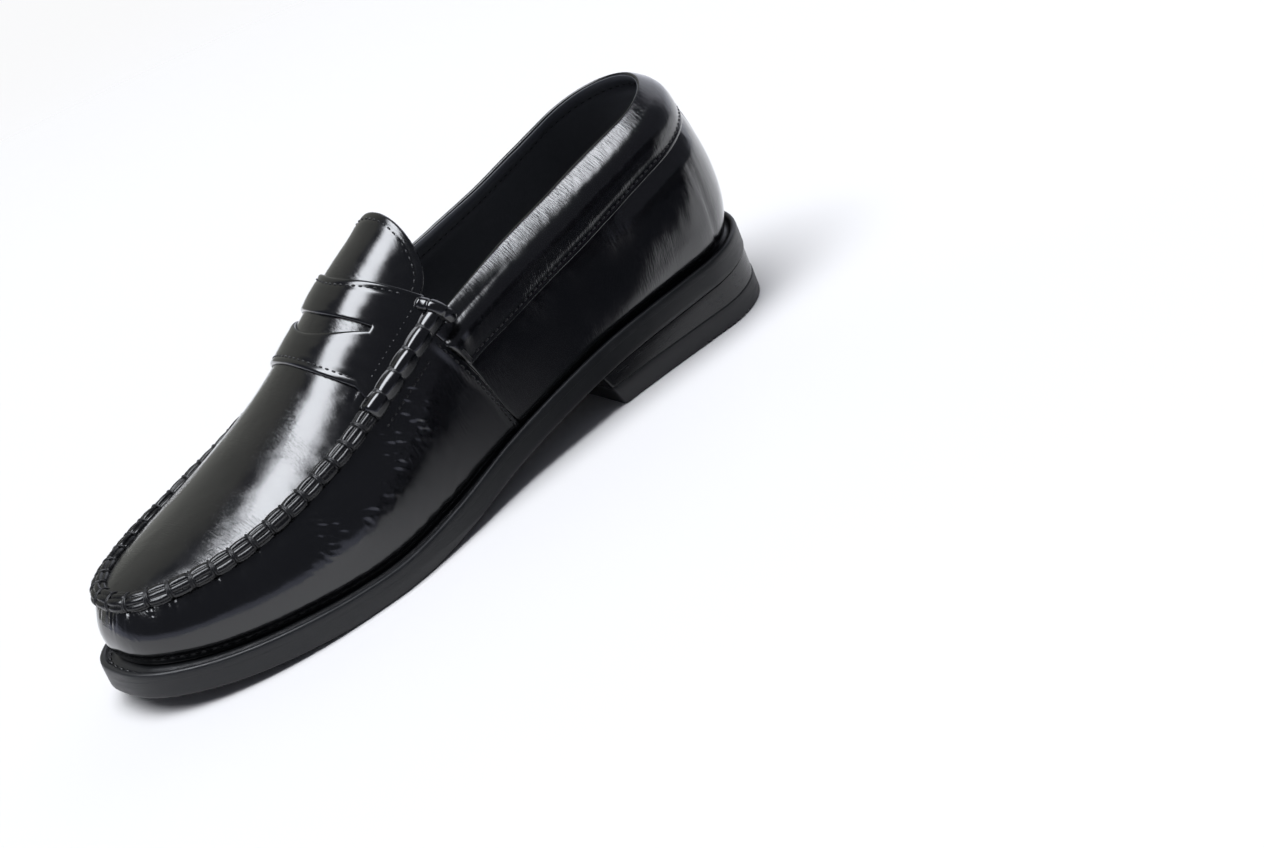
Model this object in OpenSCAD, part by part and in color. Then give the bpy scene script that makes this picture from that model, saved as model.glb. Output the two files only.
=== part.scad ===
// Slip-on loafer, left shoe, standing level on its heel and its tread.
// Toe towards -Y, outer side of the foot towards +X, sole down.
// Stations t run from the back of the heel (0) to the tip of the toe.

/* [Last] */
// Length of the sole from heel to toe
shoe_length = 292; // [270:1:315]
// Width of the sole across the ball of the foot
ball_width = 100.5; // [94:0.5:108]

/* [Leather] */
// Thickness of the upper leather
leather_t = 1.5; // [1.2:0.1:1.8]
// Thickness of the lining leather
lining_t = 0.9; // [0.7:0.1:1.1]
// Thickness of the toe puff and the heel counter
stiffener_t = 1; // [0.7:0.1:1.2]
// Height of the padded collar band
collar_h = 20; // [16:0.5:22]

/* [Moccasin seam] */
// Radius of the raised seam around the apron
ridge_r = 3; // [2.5:0.1:3.4]
// Number of thread wraps around the raised seam
wraps = 30; // [20:1:36]
// Radius of the beef rolls
roll_r = 3.7; // [3.3:0.1:4.4]

/* [Strap] */
// Half the length of the slot across the strap
slot_half = 24; // [18:1:25]
// Width of the slot in the middle
slot_w = 6.4; // [3:0.2:7]

/* [Sole] */
// Thickness of the welt
welt_t = 3.2; // [2.6:0.1:4]
// Thickness of the outsole
outsole_t = 6.6; // [5:0.1:7]
// Height of the rubber top lift
lift_h = 8; // [6:0.5:9]
// Width of the ledge left outside the stitched upper at the toe
ledge = 6.5; // [5:0.5:7]

/* [Hidden] */

leather = "#141416";
rubber = "#2b2c2f";
thread = "#26262a";
gap = 0.1;
// The upper stands this far above the welt
seat = 0.3;

// Tables run along the stations, at the standard length and width.
std_length = 292;
std_width = 100.5;
length_k = shoe_length / std_length;
width_k = ball_width / std_width;

// [station, outer half width, inner half width] of the sole, before its ends are rounded
SOLE = [[0, 34, 33.5], [40, 34, 33], [80, 34.5, 31], [110, 37, 29.5], [140, 40.5, 31.5],
        [170, 47, 38.5], [200, 52, 46], [220, 51.5, 48.5], [245, 48.5, 46], [292, 40, 36]];
// [station, height of the top of the welt]
SOLE_TOP = [[0, 28.5], [40, 26.5], [80, 24.5], [110, 21.5], [140, 17], [170, 12],
            [195, 9.5], [215, 9.5], [240, 11], [265, 13.2], [292, 17.3]];
// [station, sideways drift of the centre line]
DRIFT = [[0, 0], [200, 0], [250, 0.8], [292, 2.5]];
// [station, outer half width, inner half width, height] of the topline and the moccasin seam
TOP = [[12, 26, 26, 95.5], [30, 25.5, 26, 92.2], [60, 25.5, 26, 86.5], [80, 26.5, 26, 82],
       [100, 27.5, 27, 78], [120, 29, 28, 73.5], [141, 31, 29, 68.5], [160, 32.5, 30, 61],
       [180, 33.5, 31, 53], [200, 34.5, 32, 46.5], [230, 34, 32, 40], [255, 30, 28.5, 37.5],
       [281, 23, 22, 37]];
// [station, how far the upper stands inside the sole's edge]
FEATHER = [[0, 4.2], [90, 3.5], [130, 3.5], [180, 5], [230, 6], [292, ledge]];
// [station, how far the side bulges outward, how high up the bulge is]
BULGE = [[0, 10.1, 0.38], [40, 9.5, 0.39], [80, 6, 0.38], [110, 3.5, 0.4], [140, 3.5, 0.47],
         [200, 4.5, 0.52], [292, 5, 0.55]];
// [station, rise of the apron above the moccasin seam]
CROWN = [[120, 30.5], [133, 29], [141, 27], [155, 25.5], [178, 20.5], [200, 16], [220, 13],
         [240, 10], [260, 7], [281, 4.5]];

heel_round = 34;
toe_round = 78;
toe_power_out = 2.8;
toe_power_in = 2.2;
top_start = 12;
top_end = 281;
apron_round = 24;
// The collar ends here, and the beef rolls run between their two stations
collar_end_t = 138;
throat_t = 141;
roll_end_t = 180;
breast_t = 88;
// Where the seams between the upper's panels stand
side_seam_t = 146;
side_seam_slant = 13;
heel_seam_t = 40;

// ---- Curves -------------------------------------------------------------

function clamp(v, lo, hi) = min(max(v, lo), hi);
function mix(a, b, s) = a + (b - a) * s;
function unit(v) = v / max(norm(v), 0.000001);

function span(tab, t, i = 0) =
    i >= len(tab) - 2 || t < tab[i + 1][0] ? i : span(tab, t, i + 1);
function slope(tab, i, c) =
    let (a = max(i - 1, 0), b = min(i + 1, len(tab) - 1))
    (tab[b][c] - tab[a][c]) / (tab[b][0] - tab[a][0]);
// Smooth curve through column c of a table
function smooth(tab, t_in, c = 1) =
    let (
        t = clamp(t_in, tab[0][0], tab[len(tab) - 1][0]),
        i = span(tab, t),
        h = tab[i + 1][0] - tab[i][0],
        s = (t - tab[i][0]) / h
    )
    (2 * pow(s, 3) - 3 * s * s + 1) * tab[i][c] + (pow(s, 3) - 2 * s * s + s) * h * slope(tab, i, c)
    + (3 * s * s - 2 * pow(s, 3)) * tab[i + 1][c] + (pow(s, 3) - s * s) * h * slope(tab, i + 1, c);

// Rounds the two ends of an outline: 1 along the middle, 0 at each tip
function ends(t, t0, t1, back, front, power) =
    let (a = clamp((back - (t - t0)) / back, 0, 1), b = clamp((t - (t1 - front)) / front, 0, 1))
    sqrt(1 - a * a) * pow(1 - pow(b, power), 1 / power);

// Walk q goes once around the shoe: 0 at the heel, 1 at the toe along the outer
// side, 2 back at the heel along the inner side, and negative before the heel.
function wrap(q) = q - 2 * floor(q / 2);
function along(q) = wrap(q) <= 1 ? wrap(q) : 2 - wrap(q);
function side(q) = wrap(q) <= 1 ? 1 : -1;
function station(q, t0, t1) = t0 + (t1 - t0) * (1 - cos(180 * along(q))) / 2;
function walk(t, t0, t1) = acos(1 - 2 * (t - t0) / (t1 - t0)) / 180;
function top_walk(t) = walk(t, top_start, top_end);

function sole_half(t, s) = smooth(SOLE, t, s > 0 ? 1 : 2);
function toe_power(s) = s > 0 ? toe_power_out : toe_power_in;
function drift(t) = smooth(DRIFT, t);

// Sole edge, moved inward by inset: [t, x, z]
function sole_edge(q, inset = 0) =
    let (t = station(q, inset, std_length - inset), s = side(q))
    [t, drift(t) + s * (sole_half(t, s) - inset)
        * ends(t, inset, std_length - inset, heel_round - inset, toe_round - inset, toe_power(s)),
     smooth(SOLE_TOP, t)];

// Feather line, where the upper meets the welt; more moves it further inward
function feather(q, more = 0) =
    let (
        i0 = smooth(FEATHER, 0) + more,
        i1 = smooth(FEATHER, std_length) + more,
        t = station(q, i0, std_length - i1),
        s = side(q)
    )
    [t, drift(t) + s * (sole_half(t, s) - smooth(FEATHER, t) - more)
        * ends(t, i0, std_length - i1, heel_round - i0, toe_round - i1, toe_power(s)),
     smooth(SOLE_TOP, t) + seat];

// Topline at the back, moccasin seam at the front
function top_half(t, s) =
    smooth(TOP, t, s > 0 ? 1 : 2) * ends(t, top_start, top_end, 30, 46, s > 0 ? 3 : 2.4);
function top_rail(q) =
    let (t = station(q, top_start, top_end), s = side(q))
    [t, drift(t) + s * top_half(t, s), smooth(TOP, t, 3)];

// Outward direction in plan, across the feather line
function plan_out(q) =
    let (e = 0.002, d = feather(q + e) - feather(q - e))
    unit([-d[1], d[0], 0]);

// Side of the upper: v is 0 at the feather line and 1 at the top rail
function wall(q, v) =
    let (
        f = feather(q),
        r = top_rail(q),
        lift = [0, 0, smooth(BULGE, f[0], 2) * (r[2] - f[2])],
        c = f + plan_out(q) * smooth(BULGE, f[0], 1) + lift
    )
    (1 - v) * (1 - v) * f + 2 * v * (1 - v) * c + v * v * r;
function wall_out(q, v) =
    let (e = 0.004, dq = wall(q + e, v) - wall(q - e, v), dv = wall(q, v + e) - wall(q, v - e))
    unit(cross(dv, dq));
function wall_len(q) = norm(top_rail(q) - feather(q));
// Point at depth d inside the side of the upper
function wall_in(q, v, d) = wall(q, v) - wall_out(q, v) * d;

// Crown of the apron, the tongue and the strap over station t and offset x
function crown_half(t, x) = smooth(TOP, max(t, throat_t), x > drift(t) ? 1 : 2);
function crown_z(t, x) =
    let (
        w = t > top_end - 46 ? top_half(t, x > drift(t) ? 1 : -1) : crown_half(t, x),
        r = abs(x - drift(t)) / max(w, 0.5),
        tip = clamp((t - (top_end - apron_round)) / apron_round, 0, 1)
    )
    smooth(TOP, t, 3) + smooth(CROWN, t) * (1 - pow(min(r, 1.1), 2.2)) * sqrt(1 - tip * tip);
// The same surface moved out by d, square to its own slope across the foot
function crown(t, x, d = 0) =
    let (e = 0.2, m = (crown_z(t, x + e) - crown_z(t, x - e)) / (2 * e))
    [t, x, crown_z(t, x) + d * sqrt(1 + min(m * m, 6))];

// ---- Solids from points --------------------------------------------------

x_mid = (max([for (q = [0:0.01:1]) sole_edge(q)[1]]) + min([for (q = [1:0.01:2]) sole_edge(q)[1]])) / 2;
// From stations to the shoe's own frame
function place(p) = [(p[1] - x_mid) * width_k, shoe_length / 2 - p[0] * length_k, p[2]];

// Two triangles on each cell of a grid of n by m points that starts at base
function skin_faces(n, m, base, flip) =
    [for (i = [0:n - 2], j = [0:m - 2])
        let (a = base + i * m + j, b = a + m)
        each (flip ? [[a, a + 1, b], [b, a + 1, b + 1]] : [[a, b, a + 1], [b, b + 1, a + 1]])];
function rim(n, m) = concat(
    [for (j = [0:m - 2]) j],
    [for (i = [0:n - 2]) i * m + m - 1],
    [for (j = [m - 1:-1:1]) (n - 1) * m + j],
    [for (i = [n - 1:-1:1]) i * m]);

// Closed sheet between two grids of points, each a list of rows
module sheet(front, back) {
    n = len(front);
    m = len(front[0]);
    r = rim(n, m);
    edge = [for (k = [0:len(r) - 1])
        let (a = r[k], b = r[(k + 1) % len(r)])
        each [[a, b, a + n * m], [b, b + n * m, a + n * m]]];
    polyhedron(
        points = [for (row = concat(front, back)) each [for (p = row) place(p)]],
        faces = concat(skin_faces(n, m, 0, false), skin_faces(n, m, n * m, true), edge));
}

// Closed tube through rings of points
module tube(rings) {
    n = len(rings);
    m = len(rings[0]);
    sides = [for (i = [0:n - 2], j = [0:m - 1])
        let (a = i * m + j, b = i * m + (j + 1) % m)
        each [[a, b, a + m], [b, b + m, a + m]]];
    polyhedron(
        points = [for (ring = rings) each [for (p = ring) place(p)]],
        faces = concat(sides, [[for (j = [m - 1:-1:0]) j]], [[for (j = [0:m - 1]) (n - 1) * m + j]]));
}

function ramp(a, b, n) = [for (i = [0:n]) mix(a, b, i / n)];

// Plan outline of the sole, inset from its edge
function outline(inset, n = 44) =
    [for (i = [0:2 * n - 1]) let (p = place(sole_edge(i / n, inset))) [p[0], p[1]]];
// Plan outline inside the upper
function footbed(more, n = 40) =
    [for (i = [0:2 * n - 1]) let (p = place(feather(i / n, more))) [p[0], p[1]]];

// Layer between two depths below the welt's top, over the whole plan and no lower than floor_z
layer_stations = ramp(-10, std_length + 10, 26);
module layer(top_d, bottom_d, floor_z = 0) {
    upper = [for (t = layer_stations) [shoe_length / 2 - t * length_k, smooth(SOLE_TOP, t) - top_d]];
    under = [for (t = layer_stations)
        [shoe_length / 2 - t * length_k, max(smooth(SOLE_TOP, t) - bottom_d, floor_z)]];
    rotate([90, 0, 90])
        linear_extrude(ball_width * 2, center = true)
            polygon(concat(upper, [for (i = [len(under) - 1:-1:0]) under[i]]));
}

// Straight slot or bar along the middle of the sole, between two stations
module bar(t0, t1, w) {
    translate([-w / 2, shoe_length / 2 - t1 * length_k, 0])
        cube([w, (t1 - t0) * length_k, 60]);
}

module prism(points) {
    linear_extrude(80)
        polygon(points);
}

// ---- Sole and heel --------------------------------------------------------

breast_slant = 7;
nail_r = 1;
nail_clear = 0.05;
nail_tops = [[18, 0], [30, 18], [30, -18], [62, 18], [62, -18]];

// Everything behind the raked heel breast, between two heights
module heel_block(z0, z1) {
    front = breast_t + breast_slant;
    y_back = shoe_length / 2 + 10;
    y_low = shoe_length / 2 - breast_t * length_k;
    y_high = shoe_length / 2 - front * length_k;
    intersection() {
        rotate([90, 0, 90])
            linear_extrude(ball_width * 2, center = true)
                polygon([[y_back, 0], [y_low, 0], [y_high, 20], [y_high, 40], [y_back, 40]]);
        translate([-ball_width, -shoe_length, z0])
            cube([ball_width * 2, shoe_length * 2, z1 - z0]);
    }
}

module nails(r) {
    for (n = nail_tops) {
        p = place([n[0], n[1], lift_h + 4]);
        top = smooth(SOLE_TOP, n[0]) - welt_t - gap;
        translate(p)
            cylinder(h = top - p[2], r = r, $fn = 24);
    }
}

groove_from = 22;
groove_pitch = 2.6;
grooves = 10;

module top_lift() {
    groove_w = 1.2;
    groove_d = 0.8;
    color(rubber)
        difference() {
            intersection() {
                prism(outline(0.3));
                heel_block(0, lift_h);
            }
            for (i = [0:grooves - 1])
                translate([-ball_width / 2, shoe_length / 2 - groove_from - i * groove_pitch, -1])
                    cube([ball_width, groove_w, groove_d + 1]);
        }
}

module heel_stack() {
    color(leather)
        difference() {
            intersection() {
                prism(outline(0.6));
                heel_block(lift_h, 40);
                layer(welt_t + outsole_t, 80, -80);
            }
            nails(nail_r + nail_clear);
        }
}

module heel_nails() {
    color("#8d8f93")
        nails(nail_r);
}

module outsole() {
    color(rubber)
        difference() {
            intersection() {
                prism(outline(0));
                layer(welt_t, welt_t + outsole_t);
            }
            nails(nail_r + nail_clear);
        }
}

fill_inset = 13;

module welt() {
    color(rubber)
        difference() {
            intersection() {
                prism(outline(0.3));
                layer(0, welt_t);
            }
            prism(outline(fill_inset));
        }
}

shank_from = 52;
shank_to = 168;
shank_w = 14;
shank_t = 1.2;
shank_d = 0.7;

module cork_filler() {
    color("#a4845c")
        difference() {
            intersection() {
                prism(outline(fill_inset + gap));
                layer(gap, welt_t);
            }
            bar(shank_from - 1, shank_to + 1, shank_w + 2 * gap);
        }
}

module shank() {
    color("#9a9ea4")
        intersection() {
            layer(shank_d, shank_d + shank_t);
            bar(shank_from, shank_to, shank_w);
        }
}

board_t = 2.2;
sock_t = 1.2;
side_depth = leather_t + stiffener_t + lining_t + 5 * gap;

module insole_board() {
    color("#b59a74")
        intersection() {
            prism(footbed(side_depth + 0.4));
            layer(-gap - board_t, -gap);
        }
}

module sock_liner() {
    color("#1a1a1c")
        intersection() {
            prism(footbed(side_depth + 0.6));
            layer(-2 * gap - board_t - sock_t, -2 * gap - board_t);
        }
}

// ---- Sides of the upper ----------------------------------------------------

// Room for the thread between the raised seam and the panels on either side
seam_clear = 1.1;

// The collar band is a little lower at the back of the heel
function collar_share(q) = mix(0.88, 1, clamp((top_rail(q)[0] - top_start) / 50, 0, 1));

// How far below the top rail the side panels stop, in share of the wall
function free_top(q) =
    let (t = top_rail(q)[0])
    t < collar_end_t + 1 ? collar_h * collar_share(q) + gap
        : mix(ridge_r, roll_r, clamp((roll_end_t + 2 - t) / 4, 0, 1)) + seam_clear;
function v_top(q) = 1 - free_top(q) / wall_len(q);

function panel_grid(walks, vs, v_hi, depth, v_lo = 0) =
    [for (q = walks) [for (s = vs) wall_in(q, mix(v_lo, v_hi ? v_hi : v_top(q), s), depth)]];

// Sheet over a stretch of the walk, from depth d0 to depth d1
module panel(walks, rows, d0, d1, v_hi = 0, v_lo = 0) {
    vs = ramp(0, 1, rows);
    sheet(panel_grid(walks, vs, v_hi, d0, v_lo), panel_grid(walks, vs, v_hi, d1, v_lo));
}

// Side seam: it runs down and back from the beef roll to the welt
function seam_walk(v, shift = 0) =
    top_walk(side_seam_t - side_seam_slant * (1 - v) + shift);
heel_seam_walk = 2 - top_walk(heel_seam_t);
heel_seam_lean = 0.05;
function heel_seam(v, shift = 0) = heel_seam_walk + heel_seam_lean * pow(v, 1.5) + shift;

// Grid whose ends follow the seams a and b; share says where each row stands
// between them
function between(a, b, share, vs, depth) =
    let (last = len(vs) - 1)
    [for (f = share)
        let (high = v_top(mix(a[last], b[last], f)))
        [for (i = [0:last]) wall_in(mix(a[i], b[i], f), vs[i] * high, depth)]];
function share_of(walks) =
    [for (q = walks) (q - walks[0]) / (walks[len(walks) - 1] - walks[0])];

vs_wall = ramp(0, 1, 7);
side_line = [for (s = vs_wall) seam_walk(s)];
heel_line = [for (s = vs_wall) heel_seam(s)];
seam_gap = 0.002;
outer_step = [top_walk(collar_end_t + 0.7), top_walk(throat_t)];
inner_step = [2 - top_walk(throat_t), 2 - top_walk(collar_end_t + 0.7)];

module side_panel(a, b, walks) {
    share = share_of(walks);
    sheet(between(a, b, share, vs_wall, 0), between(a, b, share, vs_wall, leather_t));
}

module vamp() {
    a = [for (q = side_line) q + seam_gap];
    b = [for (q = heel_line) q - seam_gap];
    walks = concat(ramp(a[len(a) - 1], inner_step[0], 40), ramp(inner_step[1], b[len(b) - 1], 12));
    color(leather)
        side_panel(a, b, walks);
}

module lateral_quarter() {
    a = [for (q = side_line) seam_gap];
    walks = concat(ramp(seam_gap, outer_step[0], 20), [outer_step[1], side_line[len(side_line) - 1]]);
    color(leather)
        side_panel(a, side_line, walks);
}

module heel_panel() {
    b = [for (q = heel_line) 2 - seam_gap];
    color(leather)
        side_panel(heel_line, b, ramp(heel_line[len(heel_line) - 1], 2 - seam_gap, 7));
}

module back_strip() {
    w = 0.035;
    strip_t = 0.5;
    color(leather)
        panel(ramp(2 - w, 2 + w, 4), 6, -gap - strip_t, -gap, 0, 0.02);
}

module toe_puff() {
    d = leather_t + 2 * gap;
    color("#6e675c")
        panel(ramp(top_walk(235), 2 - top_walk(235), 22), 5, d, d + stiffener_t, 0.8, 0.03);
}

module heel_counter() {
    d = leather_t + 2 * gap;
    color("#6e675c")
        panel(ramp(-top_walk(75), top_walk(75), 28), 6, d, d + stiffener_t, 0.66, 0.03);
}

lining_d = leather_t + stiffener_t + 4 * gap;

module vamp_lining() {
    walks = ramp(top_walk(throat_t + 1), 2 - top_walk(throat_t + 1), 44);
    color("#1d1c1c")
        panel(walks, 5, lining_d, lining_d + lining_t, 0.88, 0.01);
}

inner_band = 8;

module quarter_lining() {
    walks = ramp(-top_walk(throat_t - 1), top_walk(throat_t - 1), 44);
    vs = ramp(0, 1, 6);
    function high(q) = 1 - (inner_band + 1) / wall_len(q);
    function grid(d) = [for (q = walks) [for (s = vs) wall_in(q, mix(0.01, high(q), s), d)]];
    color("#1d1c1c")
        sheet(grid(lining_d), grid(lining_d + lining_t));
}

// ---- Collar ----------------------------------------------------------------

collar_skin = 1.1;
pad_t = lining_d + lining_t;
// [height from the topline, depth] of the padded roll, from its seam up and over into the shoe
BAND = [[-collar_h, -0.2], [-17.5, -0.8], [-13, -2.4], [-9.8, -2.6], [-8.2, -2], [-6.2, -0.4],
        [-4.4, 1.5], [-2.8, 3.4], [-1.6, 5], [-1.4, 6.1], [-2, 7.1], [-3.6, 7.6],
        [-inner_band, pad_t + 0.1]];
// The same line moved into the roll by d
function band(d) =
    let (last = len(BAND) - 1)
    [for (i = [0:last])
        let (run = unit(BAND[min(i + 1, last)] - BAND[max(i - 1, 0)]))
        BAND[i] + d * [-run[1], run[0]]];
// The roll is slimmer at the front, where it meets the tongue, and at the back of the heel
function slim(q) =
    let (t = top_rail(q)[0])
    min(mix(0.92, 0.55, clamp((t - 105) / 30, 0, 1)), mix(0.6, 0.92, clamp((t - top_start) / 45, 0, 1)));
function swell(q) = mix(0.45, 1, clamp((top_rail(q)[0] - top_start) / 45, 0, 1));
function collar_point(q, hd) =
    wall_in(q, 1 + hd[0] * collar_share(q) / wall_len(q), hd[1] * (hd[1] > 0 ? slim(q) : swell(q)));
function collar_walks(n) = ramp(-top_walk(collar_end_t), top_walk(collar_end_t), n);

module collar() {
    color(leather)
        sheet([for (q = collar_walks(40)) [for (p = band(0)) collar_point(q, p)]],
              [for (q = collar_walks(40)) [for (p = band(collar_skin)) collar_point(q, p)]]);
}

module collar_foam() {
    face = band(collar_skin + gap);
    profile = concat([[-16, lining_d - 7 * gap]], [for (i = [len(face) - 1:-1:2]) face[i]]);
    color("#c9b98f")
        tube([for (q = collar_walks(40)) [for (p = profile) collar_point(q, p)]]);
}

// ---- Apron, tongue and strap -------------------------------------------------

tongue_t = 131;
tongue_len = 19;
tongue_power = 4;

// How far the top pieces stay inside the top rail
function top_margin(t) = mix(roll_r, ridge_r, clamp((t - roll_end_t) / 4, 0, 1)) + seam_clear;
function inner_half(t, s, m) =
    (smooth(TOP, t, s > 0 ? 1 : 2) - m)
    * ends(t, top_start + m, top_end - m, 30 - m, 46 - m, s > 0 ? 3 : 2.4);
function tongue_half(s) = inner_half(tongue_t + tongue_len, s, top_margin(throat_t));
function tongue_x(t, s) =
    let (r = clamp((tongue_t + tongue_len - t) / tongue_len, 0, 1))
    tongue_half(s) * pow(1 - pow(r, tongue_power), 1 / tongue_power);
function apron_half(t, s, more) =
    let (m = top_margin(t) + more)
    t < tongue_t + tongue_len ? tongue_x(t - more, s) - more * 0.5 : inner_half(t, s, m);

function apron_grid(t0, t1, rows, cols, more, d) =
    [for (i = [0:rows]) let (t = t0 + (t1 - t0) * (1 - cos(180 * i / rows)) / 2)
        [for (j = [0:cols])
            let (s = sin(-90 + 180 * j / cols), w = apron_half(t, s >= 0 ? 1 : -1, more))
            crown(t, drift(t) + s * w, d)]];

module apron_sheet(t0, t1, rows, cols, more, d0, d1) {
    sheet(apron_grid(t0, t1, rows, cols, more, d1), apron_grid(t0, t1, rows, cols, more, d0));
}

tip = 0.15;

module apron() {
    color(leather)
        apron_sheet(tongue_t + tip, top_end - ridge_r - seam_clear - tip, 40, 16, 0, 0, -leather_t);
}

module apron_lining() {
    d = leather_t + 3 * gap;
    more = 1.5;
    color("#1d1c1c")
        apron_sheet(tongue_t + more + tip, top_end - ridge_r - seam_clear - more - tip, 32, 14, more,
                    -d, -d - lining_t);
}

// Edges of the saddle strap, and the middle line of its slot, over offset x
strap_back_mid = 156;
strap_back_end = 141;
strap_front_mid = 185;
strap_front_end = 178.5;
strap_reach = 27;
slot_mid = 171;
slot_bow = 10.5;
strap_t = 1.5;
function strap_x(t, s) = s * inner_half(t, s, top_margin(t));
function strap_back(x) = mix(strap_back_mid, strap_back_end, pow(min(abs(x) / strap_reach, 1), 2));
function strap_front(x) = mix(strap_front_mid, strap_front_end, pow(min(abs(x) / strap_reach, 1), 2.5));
function slot_line(x) = slot_mid - slot_bow * pow(x / slot_half, 2);
slot_tip = 0.4;
function slot_open(x) = slot_tip + (slot_w / 2 - slot_tip) * (1 - pow(abs(x) / slot_half, 2));

// Long edge of the strap and of its slot at share s from -1 to 1; dir is -1 behind the slot
function long_edge(s, dir) =
    let (
        x = abs(s) * strap_x(dir < 0 ? strap_back_end : strap_front_end, s < 0 ? -1 : 1),
        sx = s * (slot_half - 2)
    )
    [[dir < 0 ? strap_back(x) : strap_front(x), x], [slot_line(sx) + dir * slot_open(sx), sx]];
// Short end on the side s: f runs along it
function short_edge(f, t0, t1, s, dir) =
    let (t = mix(t0, t1, f), sx = s * (slot_half - 2))
    [[t, strap_x(t, s)], [slot_line(sx) + mix(-dir, dir, f) * slot_open(sx), sx]];
// Once around the strap: k from 0 to 4 gives a point of its outer edge and one of its slot
function strap_rim(k) =
    k < 1 ? long_edge(sin(-90 + 180 * k), -1)
    : k < 2 ? short_edge(k - 1, strap_back(100), strap_front(100), 1, 1)
    : k < 3 ? long_edge(sin(90 - 180 * (k - 2)), 1)
    : short_edge(k - 3, strap_front(100), strap_back(100), -1, -1);

// Closed ring through sections, each a closed list of points
module ring(sections) {
    n = len(sections);
    m = len(sections[0]);
    polyhedron(
        points = [for (section = sections) each [for (p = section) place(p)]],
        faces = [for (i = [0:n - 1], j = [0:m - 1])
            let (a = i * m + j, b = i * m + (j + 1) % m, c = ((i + 1) % n) * m + j,
                 d = ((i + 1) % n) * m + (j + 1) % m)
            each [[a, b, c], [b, d, c]]]);
}

module saddle_strap() {
    parts = 4;
    ks = concat(ramp(0, 0.95, 14), ramp(1, 1.8, 4), ramp(2, 2.95, 14), ramp(3, 3.8, 4));
    sections = [for (k = ks)
        let (
            edge = strap_rim(k),
            line = [for (f = ramp(0, 1, parts)) mix(edge[0], edge[1], f)]
        )
        concat([for (p = line) crown(p[0], p[1], gap + strap_t)],
               [for (i = [parts:-1:0]) crown(line[i][0], line[i][1], gap)])];
    color(leather)
        ring(sections);
}

// ---- Raised seam and beef rolls ------------------------------------------------

function rail_dir(q) = unit(top_rail(q + 0.004) - top_rail(q - 0.004));
function rail_side(q) = unit(cross([0, 0, 1], rail_dir(q)));
function rail_up(q) = cross(rail_dir(q), rail_side(q));
ridge_rise = 0.6;
function rail_point(q, a, r) =
    top_rail(q) + [0, 0, ridge_rise] + rail_side(q) * r * cos(a) + rail_up(q) * r * sin(a);
rail_sides = 8;
function rail_ring(q, r) =
    [for (j = [0:rail_sides - 1]) rail_point(q, -360 * (j + 0.5) / rail_sides, r)];

ridge_from = top_walk(roll_end_t + 3);
ridge_to = 2 - ridge_from;

module moc_seam() {
    color(leather)
        tube([for (q = ramp(ridge_from, ridge_to, 72)) rail_ring(q, ridge_r)]);
}

// Band of thread over the top of a rail
module wrap_band(q, half_w, r, thick) {
    reach = 5;
    angles = [for (j = [0:reach]) 360 * (j - 0.5) / rail_sides];
    e = half_w / norm(top_rail(q + 0.01) - top_rail(q - 0.01)) * 0.02;
    function rows(rr) = [for (w = [q - e, q + e]) [for (a = angles) rail_point(w, a, rr)]];
    sheet(rows(r + thick), rows(r));
}

thread_t = 0.7;

module moc_thread() {
    color(thread)
        for (i = [0:wraps - 1])
            wrap_band(mix(ridge_from, ridge_to, (i + 0.5) / wraps), 0.8, ridge_r + 2 * gap, thread_t);
}

lobes = 5;
roll_dip = 0.2;
function roll_radius(f) = roll_r * (1 - roll_dip + roll_dip * abs(sin(180 * lobes * f)));

module beef_roll(q0, q1) {
    fs = ramp(0, 1, 30);
    tube([for (f = fs) rail_ring(mix(q0, q1, f), roll_radius(f))]);
}

roll_from = top_walk(throat_t - 1);
roll_to = top_walk(roll_end_t + 2);

module lateral_beef_roll() {
    color(leather)
        beef_roll(roll_from, roll_to);
}

module medial_beef_roll() {
    color(leather)
        beef_roll(2 - roll_to, 2 - roll_from);
}

module roll_bindings() {
    color(thread)
        for (i = [1:lobes - 1])
            for (q = [mix(roll_from, roll_to, i / lobes), 2 - mix(roll_from, roll_to, i / lobes)])
                wrap_band(q, 0.6, (1 - roll_dip) * roll_r + 0.5, thread_t);
}

module heel_seam_piping() {
    r = 0.9;
    walks = ramp(0.03, 0.97, 14);
    rings = [for (v = walks)
        let (q = heel_seam(v), p = wall_in(q, v * v_top(heel_seam(1)), -r - gap), n = wall_out(q, v),
             up = unit(wall(q, v + 0.02) - wall(q, v)), w = cross(n, up))
        [for (j = [0:5]) p + (w * cos(60 * j) + n * sin(60 * j)) * r]];
    color(leather)
        tube(rings);
}

// ---- Stitching -----------------------------------------------------------------

stitch_r = 0.35;

// One straight stitch between two points of the shoe's own frame
module stitch(a, b) {
    d = b - a;
    translate(a)
        rotate([0, acos(d[2] / norm(d)), atan2(d[1], d[0])])
            cylinder(h = norm(d), r = stitch_r, $fn = 6);
}

// Stitches along a list of points, each covering part of its gap
module stitches(points, cover = 0.6) {
    color(thread)
        for (i = [0:len(points) - 2])
            stitch(place(points[i]), mix(place(points[i]), place(points[i + 1]), cover));
}

stitch_d = stitch_r + gap;

module strap_stitching() {
    inset = 2.5;
    xs = ramp(-23, 23, 10);
    d = strap_t + gap + stitch_d + 0.1;
    stitches([for (x = xs) crown(strap_back(x) + inset, x, d)]);
    stitches([for (x = xs) crown(strap_front(x) - inset, x, d)]);
}

module tongue_stitching() {
    inset = 3;
    stitches([for (a = ramp(-70, 70, 16))
        let (x = (tongue_half(sign(a)) - inset) * sin(a), r = abs(x) / tongue_half(sign(a)))
        crown(tongue_t + inset + tongue_len * (1 - pow(1 - pow(r, tongue_power), 1 / tongue_power)), x,
              stitch_d + gap)]);
}

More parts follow.
